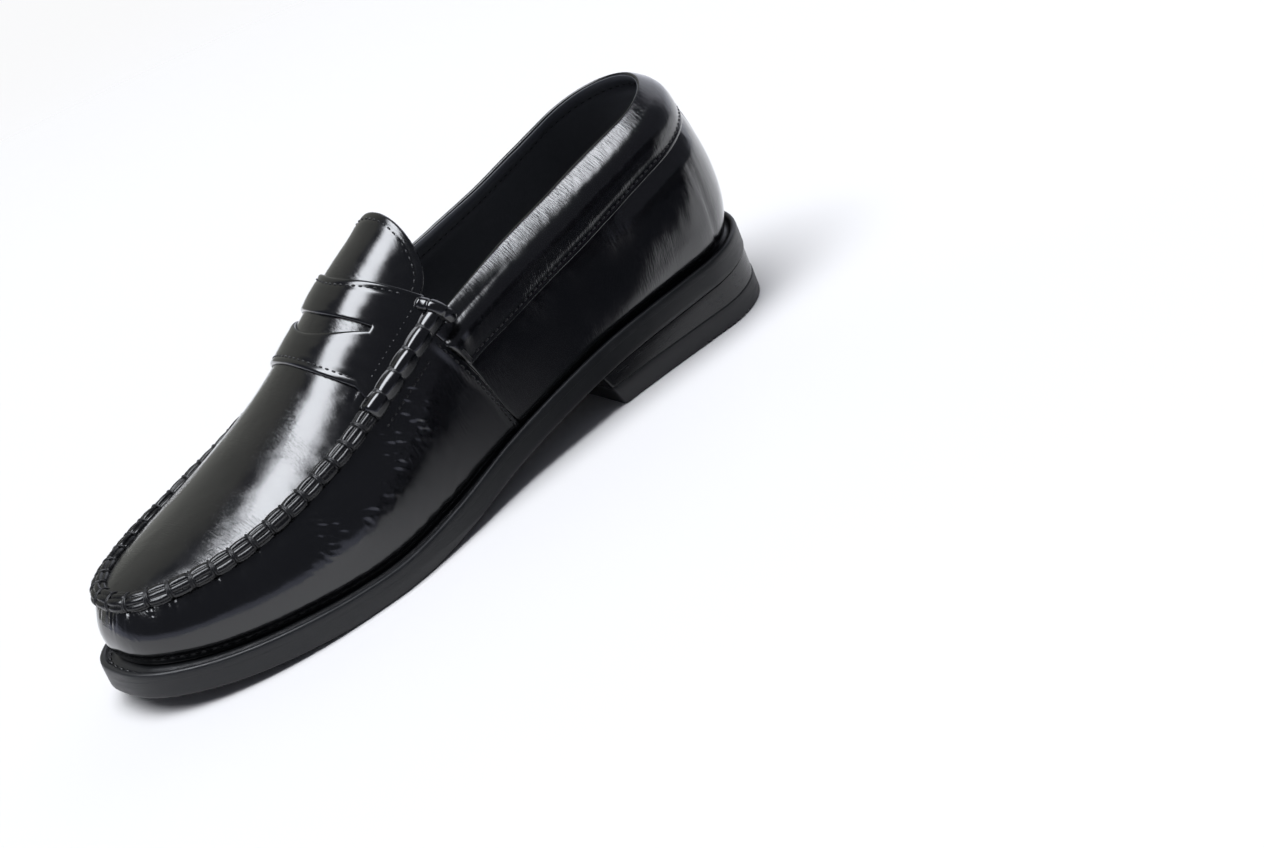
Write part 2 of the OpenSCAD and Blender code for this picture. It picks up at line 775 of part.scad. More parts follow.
module collar_stitching() {
    walks = ramp(-top_walk(collar_end_t - 3), top_walk(collar_end_t - 3), 52);
    stitches([for (q = walks) collar_point(q, [2 - collar_h, -0.7 - stitch_d / swell(q)])]);
}

module side_seam_stitching() {
    stitches([for (v = ramp(0.06, 0.94, 9))
        wall_in(seam_walk(v, 2.6), v * v_top(seam_walk(1)), -stitch_d - gap)]);
}

module heel_seam_stitching() {
    stitches([for (v = ramp(0.06, 0.92, 10))
        wall_in(heel_seam(v, 0.012), v * v_top(heel_seam(1)), -stitch_d - gap)]);
}

module welt_stitching() {
    inset = 2.4;
    from_t = 96;
    q0 = walk(from_t, 0, std_length);
    stitches([for (q = ramp(q0, 2 - q0, 64)) sole_edge(q, inset) + [0, 0, stitch_d + 0.15]], 0.55);
}

top_lift();
heel_stack();
heel_nails();
outsole();
welt();
cork_filler();
shank();
insole_board();
sock_liner();
vamp();
lateral_quarter();
heel_panel();
back_strip();
collar();
collar_foam();
toe_puff();
heel_counter();
vamp_lining();
quarter_lining();
apron();
apron_lining();
saddle_strap();
lateral_beef_roll();
medial_beef_roll();
roll_bindings();
moc_seam();
moc_thread();
heel_seam_piping();
strap_stitching();
tongue_stitching();
collar_stitching();
side_seam_stitching();
heel_seam_stitching();
welt_stitching();
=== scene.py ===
# Penny loafer, left shoe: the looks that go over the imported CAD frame.
# Stations t run from the back of the heel to the tip of the toe, x is across and z is up, in mm.
import math

import bpy
import bmesh
import numpy as np
from mathutils import Matrix, Vector


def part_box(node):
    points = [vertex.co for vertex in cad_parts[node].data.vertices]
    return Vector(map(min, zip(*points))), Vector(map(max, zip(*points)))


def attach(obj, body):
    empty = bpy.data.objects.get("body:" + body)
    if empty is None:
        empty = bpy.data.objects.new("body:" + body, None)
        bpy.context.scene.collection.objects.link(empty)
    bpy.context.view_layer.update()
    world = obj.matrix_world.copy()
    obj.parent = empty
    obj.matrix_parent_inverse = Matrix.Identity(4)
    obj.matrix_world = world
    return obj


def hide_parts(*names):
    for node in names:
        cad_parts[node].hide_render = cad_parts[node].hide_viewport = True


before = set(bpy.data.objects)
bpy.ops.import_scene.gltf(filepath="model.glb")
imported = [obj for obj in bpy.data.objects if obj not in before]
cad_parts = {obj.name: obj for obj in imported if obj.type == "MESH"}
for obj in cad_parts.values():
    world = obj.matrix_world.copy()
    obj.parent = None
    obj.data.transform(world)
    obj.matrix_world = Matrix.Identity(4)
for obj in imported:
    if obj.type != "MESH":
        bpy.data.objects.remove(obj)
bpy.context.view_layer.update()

# ---- The last and the sole, as in the CAD ------------------------------------

MM = 0.001
STD_LENGTH = 292.0
SEAT = 0.3
RIDGE_R = 3.0
RIDGE_RISE = 0.6
RIDGE_TILT = math.radians(24)
RIDGE_WIDE = 1.24
RIDGE_TUCK = 0.9
ROLL_R = 3.7
ROLL_SQUARE = 2.1
WRAPS = 30
LOBES = 5
WELT_T = 3.2
OUTSOLE_T = 6.6
LIFT_H = 8.0
LEATHER_T = 1.5
LINING_T = 0.9
STIFFENER_T = 1.0
COLLAR_H = 20.0
GAP = 0.1
SEAM_CLEAR = 1.1
TOP_START, TOP_END = 12.0, 281.0
TOP_HEEL_ROUND, TOP_TOE_ROUND = 30, 46
TOP_POWER_OUT, TOP_POWER_IN = 3, 2.4
HEEL_ROUND, TOE_ROUND = 34.0, 78.0
FEATHER_HEEL, FEATHER_TOE = 4.2, 6.5
TOE_POWER_OUT, TOE_POWER_IN = 2.8, 2.2
APRON_ROUND = 24.0
CROWN_POWER = 2.2
COLLAR_END_T = 138.0
THROAT_T = 141.0
ROLL_END_T = 180.0
BREAST_T, BREAST_SLANT = 88.0, 7.0
SIDE_SEAM_T, SIDE_SEAM_SLANT = 146.0, 13.0
HEEL_SEAM_T = 40.0
TONGUE_T, TONGUE_LEN, TONGUE_POWER = 131.0, 19.0, 4.0
LINING_D = LEATHER_T + STIFFENER_T + 4 * GAP
LINING_OUT = LINING_D + GAP
LINING_IN = LINING_D + LINING_T + GAP


def table(rows):
    a = np.array(rows, float)
    i = np.arange(len(a))
    lo, hi = np.maximum(i - 1, 0), np.minimum(i + 1, len(a) - 1)
    return a, (a[hi, 1:] - a[lo, 1:]) / (a[hi, :1] - a[lo, :1])


SOLE = table([[0, 34, 33.5], [40, 34, 33], [80, 34.5, 31], [110, 37, 29.5], [140, 40.5, 31.5],
              [170, 47, 38.5], [200, 52, 46], [220, 51.5, 48.5], [245, 48.5, 46], [292, 40, 36]])
SOLE_TOP = table([[0, 28.5], [40, 26.5], [80, 24.5], [110, 21.5], [140, 17], [170, 12],
                  [195, 9.5], [215, 9.5], [240, 11], [265, 13.2], [292, 17.3]])
DRIFT = table([[0, 0], [200, 0], [250, 0.8], [292, 2.5]])
TOP = table([[12, 26, 26, 95.5], [30, 25.5, 26, 92.2], [60, 25.5, 26, 86.5], [80, 26.5, 26, 82],
             [100, 27.5, 27, 78], [120, 29, 28, 73.5], [141, 31, 29, 68.5], [160, 32.5, 30, 61],
             [180, 33.5, 31, 53], [200, 34.5, 32, 46.5], [230, 34, 32, 40], [255, 30, 28.5, 37.5],
             [281, 23, 22, 37]])
FEATHER = table([[0, FEATHER_HEEL], [90, 3.5], [130, 3.5], [180, 5], [230, 6], [292, FEATHER_TOE]])
BULGE = table([[0, 10.1, 0.38], [40, 9.5, 0.39], [80, 6, 0.38], [110, 3.5, 0.4], [140, 3.5, 0.47],
               [200, 4.5, 0.52], [292, 5, 0.55]])
CROWN = table([[120, 30.5], [133, 29], [141, 27], [155, 25.5], [178, 20.5], [200, 16],
               [220, 13], [240, 10], [260, 7], [281, 4.5]])


def smooth(tab, t, c=1):
    """Smooth curve through column c of a table."""
    a, m = tab
    t = np.clip(t, a[0, 0], a[-1, 0])
    i = np.clip(np.searchsorted(a[:, 0], t, side="right") - 1, 0, len(a) - 2)
    h = a[i + 1, 0] - a[i, 0]
    s = (t - a[i, 0]) / h
    return ((2 * s**3 - 3 * s * s + 1) * a[i, c] + (s**3 - 2 * s * s + s) * h * m[i, c - 1]
            + (3 * s * s - 2 * s**3) * a[i + 1, c] + (s**3 - s * s) * h * m[i + 1, c - 1])


def mix(a, b, s):
    return a + (b - a) * s


def ramp(a, b, n):
    return np.linspace(a, b, n + 1)


def step(x, lo, hi):
    """0 below lo, 1 above hi, smooth between."""
    s = np.clip((x - lo) / (hi - lo), 0, 1)
    return s * s * (3 - 2 * s)


def unit(v):
    return v / np.maximum(np.linalg.norm(v, axis=-1, keepdims=True), 1e-9)


def points(*columns):
    return np.stack(np.broadcast_arrays(*columns), axis=-1).astype(float)


def ends(t, t0, t1, back, front, power):
    a = np.clip((back - (t - t0)) / back, 0, 1)
    b = np.clip((t - (t1 - front)) / front, 0, 1)
    return np.sqrt(1 - a * a) * (1 - b**power) ** (1 / power)


def wrap(q):
    return q - 2 * np.floor(q / 2)


def station(q, t0, t1):
    w = wrap(q)
    return t0 + (t1 - t0) * (1 - np.cos(np.pi * np.where(w <= 1, w, 2 - w))) / 2


def side(q):
    return np.where(wrap(q) <= 1, 1.0, -1.0)


def walk(t, t0, t1):
    return np.arccos(np.clip(1 - 2 * (t - t0) / (t1 - t0), -1, 1)) / np.pi


def top_station(q):
    return station(q, TOP_START, TOP_END)


def top_walk(t):
    return walk(t, TOP_START, TOP_END)


def side_walk(t, sign):
    """Walk of the top rail at station t on the outer side (sign 1) or the inner one (-1)."""
    w = float(top_walk(t))
    return w if sign > 0 else 2 - w


def sole_walk(t):
    return walk(t, 0, STD_LENGTH)


def half(tab, t, s):
    return np.where(s > 0, smooth(tab, t, 1), smooth(tab, t, 2))


def rounded_x(t, s, back, front, width):
    """x of an outline with round ends that stand back and front mm inside the sole's."""
    a = np.clip((HEEL_ROUND - t) / (HEEL_ROUND - back), 0, 1)
    b = np.clip((t - (STD_LENGTH - TOE_ROUND)) / (TOE_ROUND - front), 0, 1)
    p = np.where(s > 0, TOE_POWER_OUT, TOE_POWER_IN)
    return smooth(DRIFT, t) + s * width * np.sqrt(1 - a * a) * (1 - b**p) ** (1 / p)


def sole_edge(q, inset=0.0):
    q, inset = np.broadcast_arrays(np.asarray(q, float), inset)
    w = wrap(q)
    t = inset + (STD_LENGTH - 2 * inset) * (1 - np.cos(np.pi * np.where(w <= 1, w, 2 - w))) / 2
    s = side(q)
    x = rounded_x(t, s, inset, inset, half(SOLE, t, s) - inset)
    return points(t, x, smooth(SOLE_TOP, t))


def feather(q, more=0.0):
    """Line where the upper meets the welt, moved inwards by more."""
    back, front = FEATHER_HEEL + more, FEATHER_TOE + more
    t = station(q, back, STD_LENGTH - front)
    s = side(q)
    x = rounded_x(t, s, back, front, half(SOLE, t, s) - smooth(FEATHER, t) - more)
    return points(t, x, smooth(SOLE_TOP, t) + SEAT)


def inner_half(t, s, m):
    """Half width of the top's outline, moved inwards by m."""
    span = (TOP_START + m, TOP_END - m, TOP_HEEL_ROUND - m, TOP_TOE_ROUND - m)
    return (half(TOP, t, s) - m) * np.where(s > 0, ends(t, *span, TOP_POWER_OUT),
                                            ends(t, *span, TOP_POWER_IN))


def top_half(t, s):
    return inner_half(t, s, 0)


def top_rail(q):
    t, s = top_station(q), side(q)
    return points(t, smooth(DRIFT, t) + s * top_half(t, s), smooth(TOP, t, 3))


def plan_out(q):
    d = feather(q + 0.002) - feather(q - 0.002)
    return unit(points(-d[..., 1], d[..., 0], 0 * d[..., 0]))


def wall(q, v):
    """Side of the upper: v is 0 at the feather line and 1 at the top rail."""
    q, v = np.broadcast_arrays(np.asarray(q, float), np.asarray(v, float))
    f, r = feather(q), top_rail(q)
    c = f + plan_out(q) * smooth(BULGE, f[..., 0], 1)[..., None]
    c[..., 2] += smooth(BULGE, f[..., 0], 2) * (r[..., 2] - f[..., 2])
    v = v[..., None]
    return (1 - v) ** 2 * f + 2 * v * (1 - v) * c + v * v * r


def wall_out(q, v):
    e = 0.004
    return unit(np.cross(wall(q, v + e) - wall(q, v - e), wall(q + e, v) - wall(q - e, v)))


def wall_len(q):
    return np.linalg.norm(top_rail(q) - feather(q), axis=-1)


def wall_in(q, v, depth):
    q, v, depth = np.broadcast_arrays(np.asarray(q, float), v, depth)
    return wall(q, v) - wall_out(q, v) * depth[..., None]


def crown_z(t, x):
    t, x = np.broadcast_arrays(np.asarray(t, float), np.asarray(x, float))
    s = np.where(x > smooth(DRIFT, t), 1, -1)
    w = np.where(t > TOP_END - TOP_TOE_ROUND, top_half(t, s), half(TOP, np.maximum(t, THROAT_T), s))
    r = np.minimum(np.abs(x - smooth(DRIFT, t)) / np.maximum(w, 0.5), 1.1)
    tip = np.clip((t - (TOP_END - APRON_ROUND)) / APRON_ROUND, 0, 1)
    return smooth(TOP, t, 3) + smooth(CROWN, t) * (1 - r**CROWN_POWER) * np.sqrt(1 - tip * tip)


def crown_normal(t, x):
    e = 0.4
    mx = (crown_z(t, x + e) - crown_z(t, x - e)) / (2 * e)
    mt = (crown_z(t + e, x) - crown_z(t - e, x)) / (2 * e)
    return unit(points(-mt, -mx, 1.0))


def crown(t, x, d=0.0):
    t, x, d = np.broadcast_arrays(np.asarray(t, float), x, d)
    return points(t, x, crown_z(t, x)) + crown_normal(t, x) * d[..., None]


def seam_reach(t):
    """Radius of the roll or of the raised seam beside station t."""
    return mix(ROLL_R, RIDGE_R, np.clip((t - ROLL_END_T) / 4, 0, 1))


def top_margin(t):
    return seam_reach(t) + SEAM_CLEAR


def rail_dir(q):
    return unit(top_rail(q + 0.004) - top_rail(q - 0.004))


def rail_side(q):
    return unit(np.cross([0.0, 0.0, 1.0], rail_dir(q)))


def rail_up(q):
    return np.cross(rail_dir(q), rail_side(q))


def rail_point(q, a, r):
    """Point around the top rail at angle a, in degrees from the outward side, and radius r."""
    q, a, r = np.broadcast_arrays(np.asarray(q, float), np.radians(a), r)
    flat, up = (r * np.cos(a))[..., None], (r * np.sin(a))[..., None]
    return top_rail(q) + [0, 0, RIDGE_RISE] + rail_side(q) * flat + rail_up(q) * up


def ridge_point(q, a, r):
    """Like rail_point, on a wider oval that leans down on the outside."""
    q, a, r = np.broadcast_arrays(np.asarray(q, float), np.radians(a), r)
    across = rail_side(q) * math.cos(RIDGE_TILT) - rail_up(q) * math.sin(RIDGE_TILT)
    up = rail_side(q) * math.sin(RIDGE_TILT) + rail_up(q) * math.cos(RIDGE_TILT)
    return (top_rail(q) + [0, 0, RIDGE_RISE] + across * (r * RIDGE_WIDE * np.cos(a))[..., None]
            + up * (r * np.sin(a))[..., None])


sole_lo, sole_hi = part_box("outsole")
LENGTH = (sole_hi.y - sole_lo.y) / MM
LENGTH_K = LENGTH / STD_LENGTH
coarse = sole_edge(np.arange(0, 2, 0.01))[:, 1]
X_MID = (coarse.max() + coarse.min()) / 2
WIDTH_K = (sole_hi.x - sole_lo.x) / MM / (coarse.max() - coarse.min())


def place(p):
    """From stations, in mm, to the row frame, in metres."""
    p = np.asarray(p, float)
    return points((p[..., 1] - X_MID) * WIDTH_K, LENGTH / 2 - p[..., 0] * LENGTH_K, p[..., 2]) * MM


# ---- Arc lengths ---------------------------------------------------------------

def arc(fn, q0, q1, n=4000):
    """(steps of q, length so far) along fn."""
    q = np.linspace(q0, q1, n)
    p = fn(q)
    return q, np.concatenate([[0], np.cumsum(np.linalg.norm(np.diff(p, axis=0), axis=-1))])


def even(fn, q0, q1, pitch):
    """Steps of q from q0 to q1 about pitch mm apart along fn."""
    q, s = arc(fn, q0, q1)
    return np.interp(np.linspace(0, s[-1], max(int(s[-1] / pitch), 2) + 1), s, q)


RIDGE_FROM = float(top_walk(ROLL_END_T + 3))
RIDGE_TO = 2 - RIDGE_FROM
ROLL_FROM = float(top_walk(THROAT_T - 1))
ROLL_TO = float(top_walk(ROLL_END_T + 2))
ridge_q, ridge_s = arc(top_rail, RIDGE_FROM - 0.05, RIDGE_TO + 0.05)
ridge_zero = np.interp(RIDGE_FROM, ridge_q, ridge_s)
CELL = (np.interp(RIDGE_TO, ridge_q, ridge_s) - ridge_zero) / WRAPS


def cells(q):
    """Position along the raised seam, counted in cells. A wrap stands at each n + 0.5."""
    return (np.interp(q, ridge_q, ridge_s) - ridge_zero) / CELL


def wrap_near(q):
    """Distance in mm from the nearest wrap of the raised seam."""
    c = cells(q)
    return np.abs(c - np.floor(c) - 0.5) * CELL


rng = np.random.RandomState(7)


def waves(p, length, direction=(0, 0, 0), spread=1.0, count=14, seed=1):
    """Seeded uneven ripples of about that wavelength in mm, running along direction."""
    r = np.random.RandomState(seed)
    k = r.normal(size=(count, 3)) * spread + np.array(direction, float)
    k = k / np.linalg.norm(k, axis=1, keepdims=True) * (2 * np.pi / length)
    k = k * r.uniform(0.6, 1.6, (count, 1))
    phase = r.uniform(0, 2 * np.pi, count)
    return np.sin(p @ k.T + phase).sum(axis=-1) / math.sqrt(count)


# ---- Meshes ----------------------------------------------------------------------

def add(name, verts, faces, mat, stands=(), merge=0.0):
    mesh = bpy.data.meshes.new(name)
    mesh.from_pydata(np.asarray(verts).reshape(-1, 3).tolist(), [], faces)
    bm = bmesh.new()
    bm.from_mesh(mesh)
    if merge:
        bmesh.ops.remove_doubles(bm, verts=bm.verts, dist=merge)
    bmesh.ops.recalc_face_normals(bm, faces=bm.faces)
    bm.to_mesh(mesh)
    bm.free()
    mesh.shade_smooth()
    mesh.materials.append(mat)
    o = bpy.data.objects.new(name, mesh)
    bpy.context.scene.collection.objects.link(o)
    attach(o, "root")
    if stands:
        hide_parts(*stands)
    return o


def grid_faces(n, m, base=0, loop_n=False, loop_m=False):
    i = np.arange(n if loop_n else n - 1)[:, None]
    j = np.arange(m if loop_m else m - 1)[None, :]
    i2, j2 = (i + 1) % n, (j + 1) % m
    f = np.stack(np.broadcast_arrays(i * m + j, i2 * m + j, i2 * m + j2, i * m + j2), axis=-1)
    return (f.reshape(-1, 4) + base).tolist()


def closed_sheet(front, back):
    """(verts, faces) of the solid between two equal grids of points."""
    n, m = front.shape[:2]
    r = (list(range(m - 1)) + [i * m + m - 1 for i in range(n - 1)]
         + [(n - 1) * m + j for j in range(m - 1, 0, -1)] + [i * m for i in range(n - 1, 0, -1)])
    faces = grid_faces(n, m) + [f[::-1] for f in grid_faces(n, m, n * m)]
    faces += [[r[k], r[(k + 1) % len(r)], r[(k + 1) % len(r)] + n * m, r[k] + n * m] for k in range(len(r))]
    return np.concatenate([front.reshape(-1, 3), back.reshape(-1, 3)]), faces


def tube_parts(rings):
    """(verts, faces) of a tube through rings, n by m points, with capped ends."""
    n, m = rings.shape[:2]
    faces = grid_faces(n, m, loop_m=True)
    faces += [list(range(m - 1, -1, -1)), [(n - 1) * m + j for j in range(m)]]
    return rings.reshape(-1, 3), faces


def joined(parts):
    verts, faces, base = [], [], 0
    for v, f in parts:
        verts.append(v)
        faces += [[k + base for k in face] for face in f]
        base += len(v)
    return np.concatenate(verts), faces


def add_threads(name, parts, node):
    """One object of all the threads in parts, in place of a CAD node."""
    verts, faces = joined(parts)
    add(name, place(verts), faces, thread_mat, [node])


def cord_rings(path, radius, sides=8, flat=1.0, up=None):
    """Rings around a path of points, in the same space as the path."""
    path = np.asarray(path, float)
    d = unit(np.gradient(path, axis=0))
    ref = np.broadcast_to(np.array([0.0, 0.0, 1.0]) if up is None else up, path.shape)
    w = unit(np.cross(d, ref))
    u = np.cross(w, d)
    a = np.arange(sides) * 2 * np.pi / sides
    r = np.broadcast_to(np.asarray(radius, float), len(path))[:, None, None]
    return (path[:, None, :] + w[:, None, :] * np.cos(a)[None, :, None] * r
            + u[:, None, :] * np.sin(a)[None, :, None] * r * flat)


def stitch_row(path, out, pitch, cover=0.62, radius=0.42, sides=7, lift=0.3, start=0.4):
    """Parts of a row of thread stitches that dip into the leather at both ends."""
    s = np.concatenate([[0], np.cumsum(np.linalg.norm(np.diff(path, axis=0), axis=-1))])
    parts = []
    count = int((s[-1] - 2 * start) / pitch)
    for k in range(count):
        a = start + k * pitch
        u = np.linspace(0, 1, 7)
        at = a + u * pitch * cover
        p = np.stack([np.interp(at, s, path[:, c]) for c in range(3)], axis=-1)
        n = unit(np.stack([np.interp(at, s, out[:, c]) for c in range(3)], axis=-1))
        hump = np.sin(np.pi * u)
        p = p + n * ((hump**0.6) * (lift + radius * 0.6) - radius * 0.9)[:, None]
        rad = radius * (0.55 + 0.45 * hump**0.5)
        parts.append(tube_parts(cord_rings(p, rad, sides, 0.8, n)))
    return parts


def fold(d, r):
    """How far a turned edge of radius r drops at distance d from its rim."""
    k = np.clip(1 - d / r, 0, 1)
    return r * (1 - np.sqrt(1 - k * k))


# Close steps in from a leather edge
EDGE = np.array([0, 0.06, 0.16, 0.32, 0.55, 0.85])


# ---- Materials ---------------------------------------------------------------------

def new_material(name):
    m = bpy.data.materials.new(name)
    m.use_nodes = True
    return m, m.node_tree, m.node_tree.nodes["Principled BSDF"]


def link(tree, a, b):
    tree.links.new(a, b)


def coords(tree, scale, turn=(0, 0, 0)):
    """Object coordinates turned and scaled, so that scale is in steps per metre."""
    tex = tree.nodes.new("ShaderNodeTexCoord")
    mapping = tree.nodes.new("ShaderNodeMapping")
    mapping.inputs["Rotation"].default_value = [math.radians(a) for a in turn]
    mapping.inputs["Scale"].default_value = scale
    link(tree, tex.outputs["Object"], mapping.inputs["Vector"])
    return mapping.outputs["Vector"]


def noise(tree, vector, detail=3.0, rough=0.55, distort=0.0):
    n = tree.nodes.new("ShaderNodeTexNoise")
    n.inputs["Scale"].default_value = 1.0
    n.inputs["Detail"].default_value = detail
    n.inputs["Roughness"].default_value = rough
    n.inputs["Distortion"].default_value = distort
    link(tree, vector, n.inputs["Vector"])
    return n.outputs[0]


def grain(tree, scale, detail):
    """Noise of the same scale in every direction, in steps per metre."""
    return noise(tree, coords(tree, (scale, scale, scale)), detail)


def remap(tree, value, a, b, c, d, kind="LINEAR"):
    n = tree.nodes.new("ShaderNodeMapRange")
    n.interpolation_type = kind
    for key, number in zip(("From Min", "From Max", "To Min", "To Max"), (a, b, c, d)):
        n.inputs[key].default_value = number
    link(tree, value, n.inputs["Value"])
    return n.outputs[0]


def maths(tree, kind, a, b):
    n = tree.nodes.new("ShaderNodeMath")
    n.operation = kind
    for k, v in enumerate((a, b)):
        if isinstance(v, (int, float)):
            n.inputs[k].default_value = v
        else:
            link(tree, v, n.inputs[k])
    return n.outputs[0]


def bump(tree, height, strength, distance, normal=None):
    n = tree.nodes.new("ShaderNodeBump")
    n.inputs["Strength"].default_value = strength
    n.inputs["Distance"].default_value = distance
    link(tree, height, n.inputs["Height"])
    if normal is not None:
        link(tree, normal, n.inputs["Normal"])
    return n.outputs["Normal"]


def blend_colours(tree, factor, a, b):
    n = tree.nodes.new("ShaderNodeMix")
    n.data_type = "RGBA"
    n.inputs[6].default_value = (*a, 1)
    n.inputs[7].default_value = (*b, 1)
    link(tree, factor, n.inputs[0])
    return n.outputs[2]


LEATHER_DARK, LEATHER_LIGHT = (0.0012, 0.0013, 0.0017), (0.0035, 0.0036, 0.004)


def leather(name, turn, wrinkle, hair=(230, 1500, 230)):
    """Polished black leather: pores, fine creases across one direction and slow unevenness."""
    m, t, p = new_material(name)
    patch = grain(t, 38, 2)
    link(t, blend_colours(t, patch, LEATHER_DARK, LEATHER_LIGHT), p.inputs["Base Color"])
    smear = grain(t, 160, 4)
    link(t, remap(t, smear, 0.3, 0.7, 0.12, 0.2), p.inputs["Roughness"])
    p.inputs["Specular IOR Level"].default_value = 0.55
    p.inputs["Coat Weight"].default_value = 0.6
    p.inputs["Coat Roughness"].default_value = 0.07
    p.inputs["Coat IOR"].default_value = 1.5
    slow = grain(t, 75, 2)
    crease = noise(t, coords(t, hair, turn), detail=3, rough=0.6, distort=0.4)
    where = remap(t, grain(t, 55, 2), 0.38, 0.6, 0.25, 1.0, "SMOOTHSTEP")
    pores = grain(t, 3200, 2)
    n = bump(t, slow, 0.14, 0.0005)
    n = bump(t, maths(t, "MULTIPLY", crease, where), wrinkle, 0.00035, n)
    n = bump(t, pores, 0.08, 0.00008, n)
    link(t, n, p.inputs["Normal"])
    link(t, n, p.inputs["Coat Normal"])
    return m


def rubber(name, base, spread, rough, streak=0.25):
    """Moulded rubber with fine drawn lines along its length."""
    m, t, p = new_material(name)
    tone = noise(t, coords(t, (120, 120, 700)), detail=4)
    link(t, blend_colours(t, tone, base, spread), p.inputs["Base Color"])
    link(t, remap(t, tone, 0.3, 0.7, rough - 0.06, rough + 0.08), p.inputs["Roughness"])
    p.inputs["Specular IOR Level"].default_value = 0.45
    n = bump(t, noise(t, coords(t, (60, 60, 2600)), detail=3), streak, 0.00025)
    n = bump(t, grain(t, 2400, 2), 0.15, 0.00012, n)
    link(t, n, p.inputs["Normal"])
    return m


def plain(name, dark, light, scale, rough, strength=0.3, depth=0.0002, metal=0.0):
    """Quiet material with grain at one scale."""
    m, t, p = new_material(name)
    specks = noise(t, coords(t, scale), detail=4)
    link(t, blend_colours(t, specks, dark, light), p.inputs["Base Color"])
    link(t, remap(t, specks, 0.3, 0.7, rough - 0.08, rough + 0.08), p.inputs["Roughness"])
    p.inputs["Metallic"].default_value = metal
    link(t, bump(t, specks, strength, depth), p.inputs["Normal"])
    return m


leather_vamp = leather("upper_leather", (0, 35, 20), 0.27)
leather_apron = leather("apron_leather", (0, 0, 25), 0.5, hair=(260, 1900, 260))
leather_collar = leather("collar_leather", (25, 0, 8), 0.38)
leather_strap = leather("strap_leather", (10, 0, 20), 0.16)
sole_rubber = rubber("sole_rubber", (0.007, 0.0075, 0.0085), (0.013, 0.0135, 0.015), 0.4)
lift_rubber = rubber("lift_rubber", (0.01, 0.01, 0.011), (0.018, 0.018, 0.02), 0.5, 0.12)
stack_leather = rubber("stack_leather", (0.003, 0.003, 0.0035), (0.012, 0.012, 0.013), 0.22, 0.14)
thread_mat = plain("waxed_thread", (0.004, 0.004, 0.0045), (0.014, 0.014, 0.0155),
                   (1500, 1500, 1500), 0.36, 0.6, 0.0003)
strand_mat = plain("seam_strands", (0.0015, 0.0015, 0.002), (0.006, 0.006, 0.0065),
                   (900, 900, 900), 0.24, 0.25)
lining_mat = plain("lining_leather", (0.07, 0.073, 0.08), (0.095, 0.098, 0.106),
                   (900, 900, 900), 0.5, 0.35)
cork_mat = plain("cork", (0.16, 0.09, 0.045), (0.42, 0.27, 0.15), (420, 420, 420), 0.85, 0.6, 0.0006)
board_mat = plain("fibreboard", (0.3, 0.22, 0.14), (0.45, 0.35, 0.24), (260, 1400, 260), 0.8)
stiff_mat = plain("stiffener", (0.12, 0.11, 0.09), (0.2, 0.18, 0.15), (1200, 1200, 1200), 0.8)
steel_mat = plain("steel", (0.42, 0.43, 0.45), (0.55, 0.56, 0.58), (200, 2600, 200), 0.35, 0.15, 0.0001, 1.0)
foam_mat = plain("foam", (0.5, 0.42, 0.26), (0.62, 0.54, 0.36), (1500, 1500, 1500), 0.9, 0.6, 0.0004)

# ---- Sole and heel --------------------------------------------------------------------

SOLE_CENTRE_FROM, SOLE_CENTRE_TO = 30.0, 250.0
# Cross grooves: first station, pitch, count and width, and how deep they are
TREAD_RIBS, TREAD_DEPTH = (188, 3.2, 12, 1.4), 0.7
LIFT_RIBS, LIFT_DEPTH = (22.6, 2.6, 10, 1.2), 0.8
# How far the heel's two parts stand inside the sole's edge
STACK_IN, LIFT_IN = 0.6, 0.3


def toward_middle(edge, share):
    """Points from the edge of a plan towards the line down its middle."""
    t = mix(edge[..., 0], np.clip(edge[..., 0], SOLE_CENTRE_FROM, SOLE_CENTRE_TO), share)
    x = mix(edge[..., 1], smooth(DRIFT, edge[..., 0]), share)
    return points(t, x, edge[..., 2])


def sole_underside(t):
    return np.maximum(smooth(SOLE_TOP, t) - WELT_T - OUTSOLE_T, 0)


def ribs(t, start, pitch, count, width):
    """1 inside the grooves that run across the tread, 0 outside them."""
    k = (t - start) / pitch
    d = np.abs(k - np.round(k)) * pitch
    inside = (np.round(k) >= 0) & (np.round(k) < count)
    return np.where(inside, 1 - step(d, width / 2 - 0.15, width / 2 + 0.15), 0)


def build_outsole():
    tread = even(sole_edge, sole_walk(186), sole_walk(226), 0.35)
    q = np.unique(np.concatenate([even(sole_edge, 0, 2, 1.3), tread, 2 - tread]))[:-1]
    top = [(6, 0), (0.01, 0), (0, 0.05), (0, 0.1), (0, 0.3), (0, 1.1), (0, 2.4), (0, 4.4),
           (0, 5.5), (0.12, 6.05), (0.42, 6.42), (0.95, 6.6), (2.2, 6.6), (5, 6.6)]
    rows = []
    for inset, d in top:
        p = sole_edge(q, inset)
        z_top = p[:, 2] - WELT_T
        z_low = sole_underside(p[:, 0])
        p[:, 2] = mix(z_top, z_low, d / OUTSOLE_T)
        rows.append(p)
    rim = sole_edge(q, 5)
    for share in (0.02, 0.08, 0.25, 0.5, 0.75, 0.999):
        p = toward_middle(rim, share)
        p[:, 2] = sole_underside(p[:, 0])
        p[:, 2] += TREAD_DEPTH * ribs(p[:, 0], *TREAD_RIBS) * step(share, 0.01, 0.08)
        rows.append(p)
    g = np.stack(rows, axis=1)
    lid = toward_middle(sole_edge(q, 6), 0.999)
    lid[:, 2] = smooth(SOLE_TOP, lid[:, 0]) - WELT_T
    g = np.concatenate([lid[:, None], g], axis=1)
    add("outsole_rubber", place(g), grid_faces(len(q), g.shape[1], loop_n=True), sole_rubber,
        ["outsole"], 2e-5)


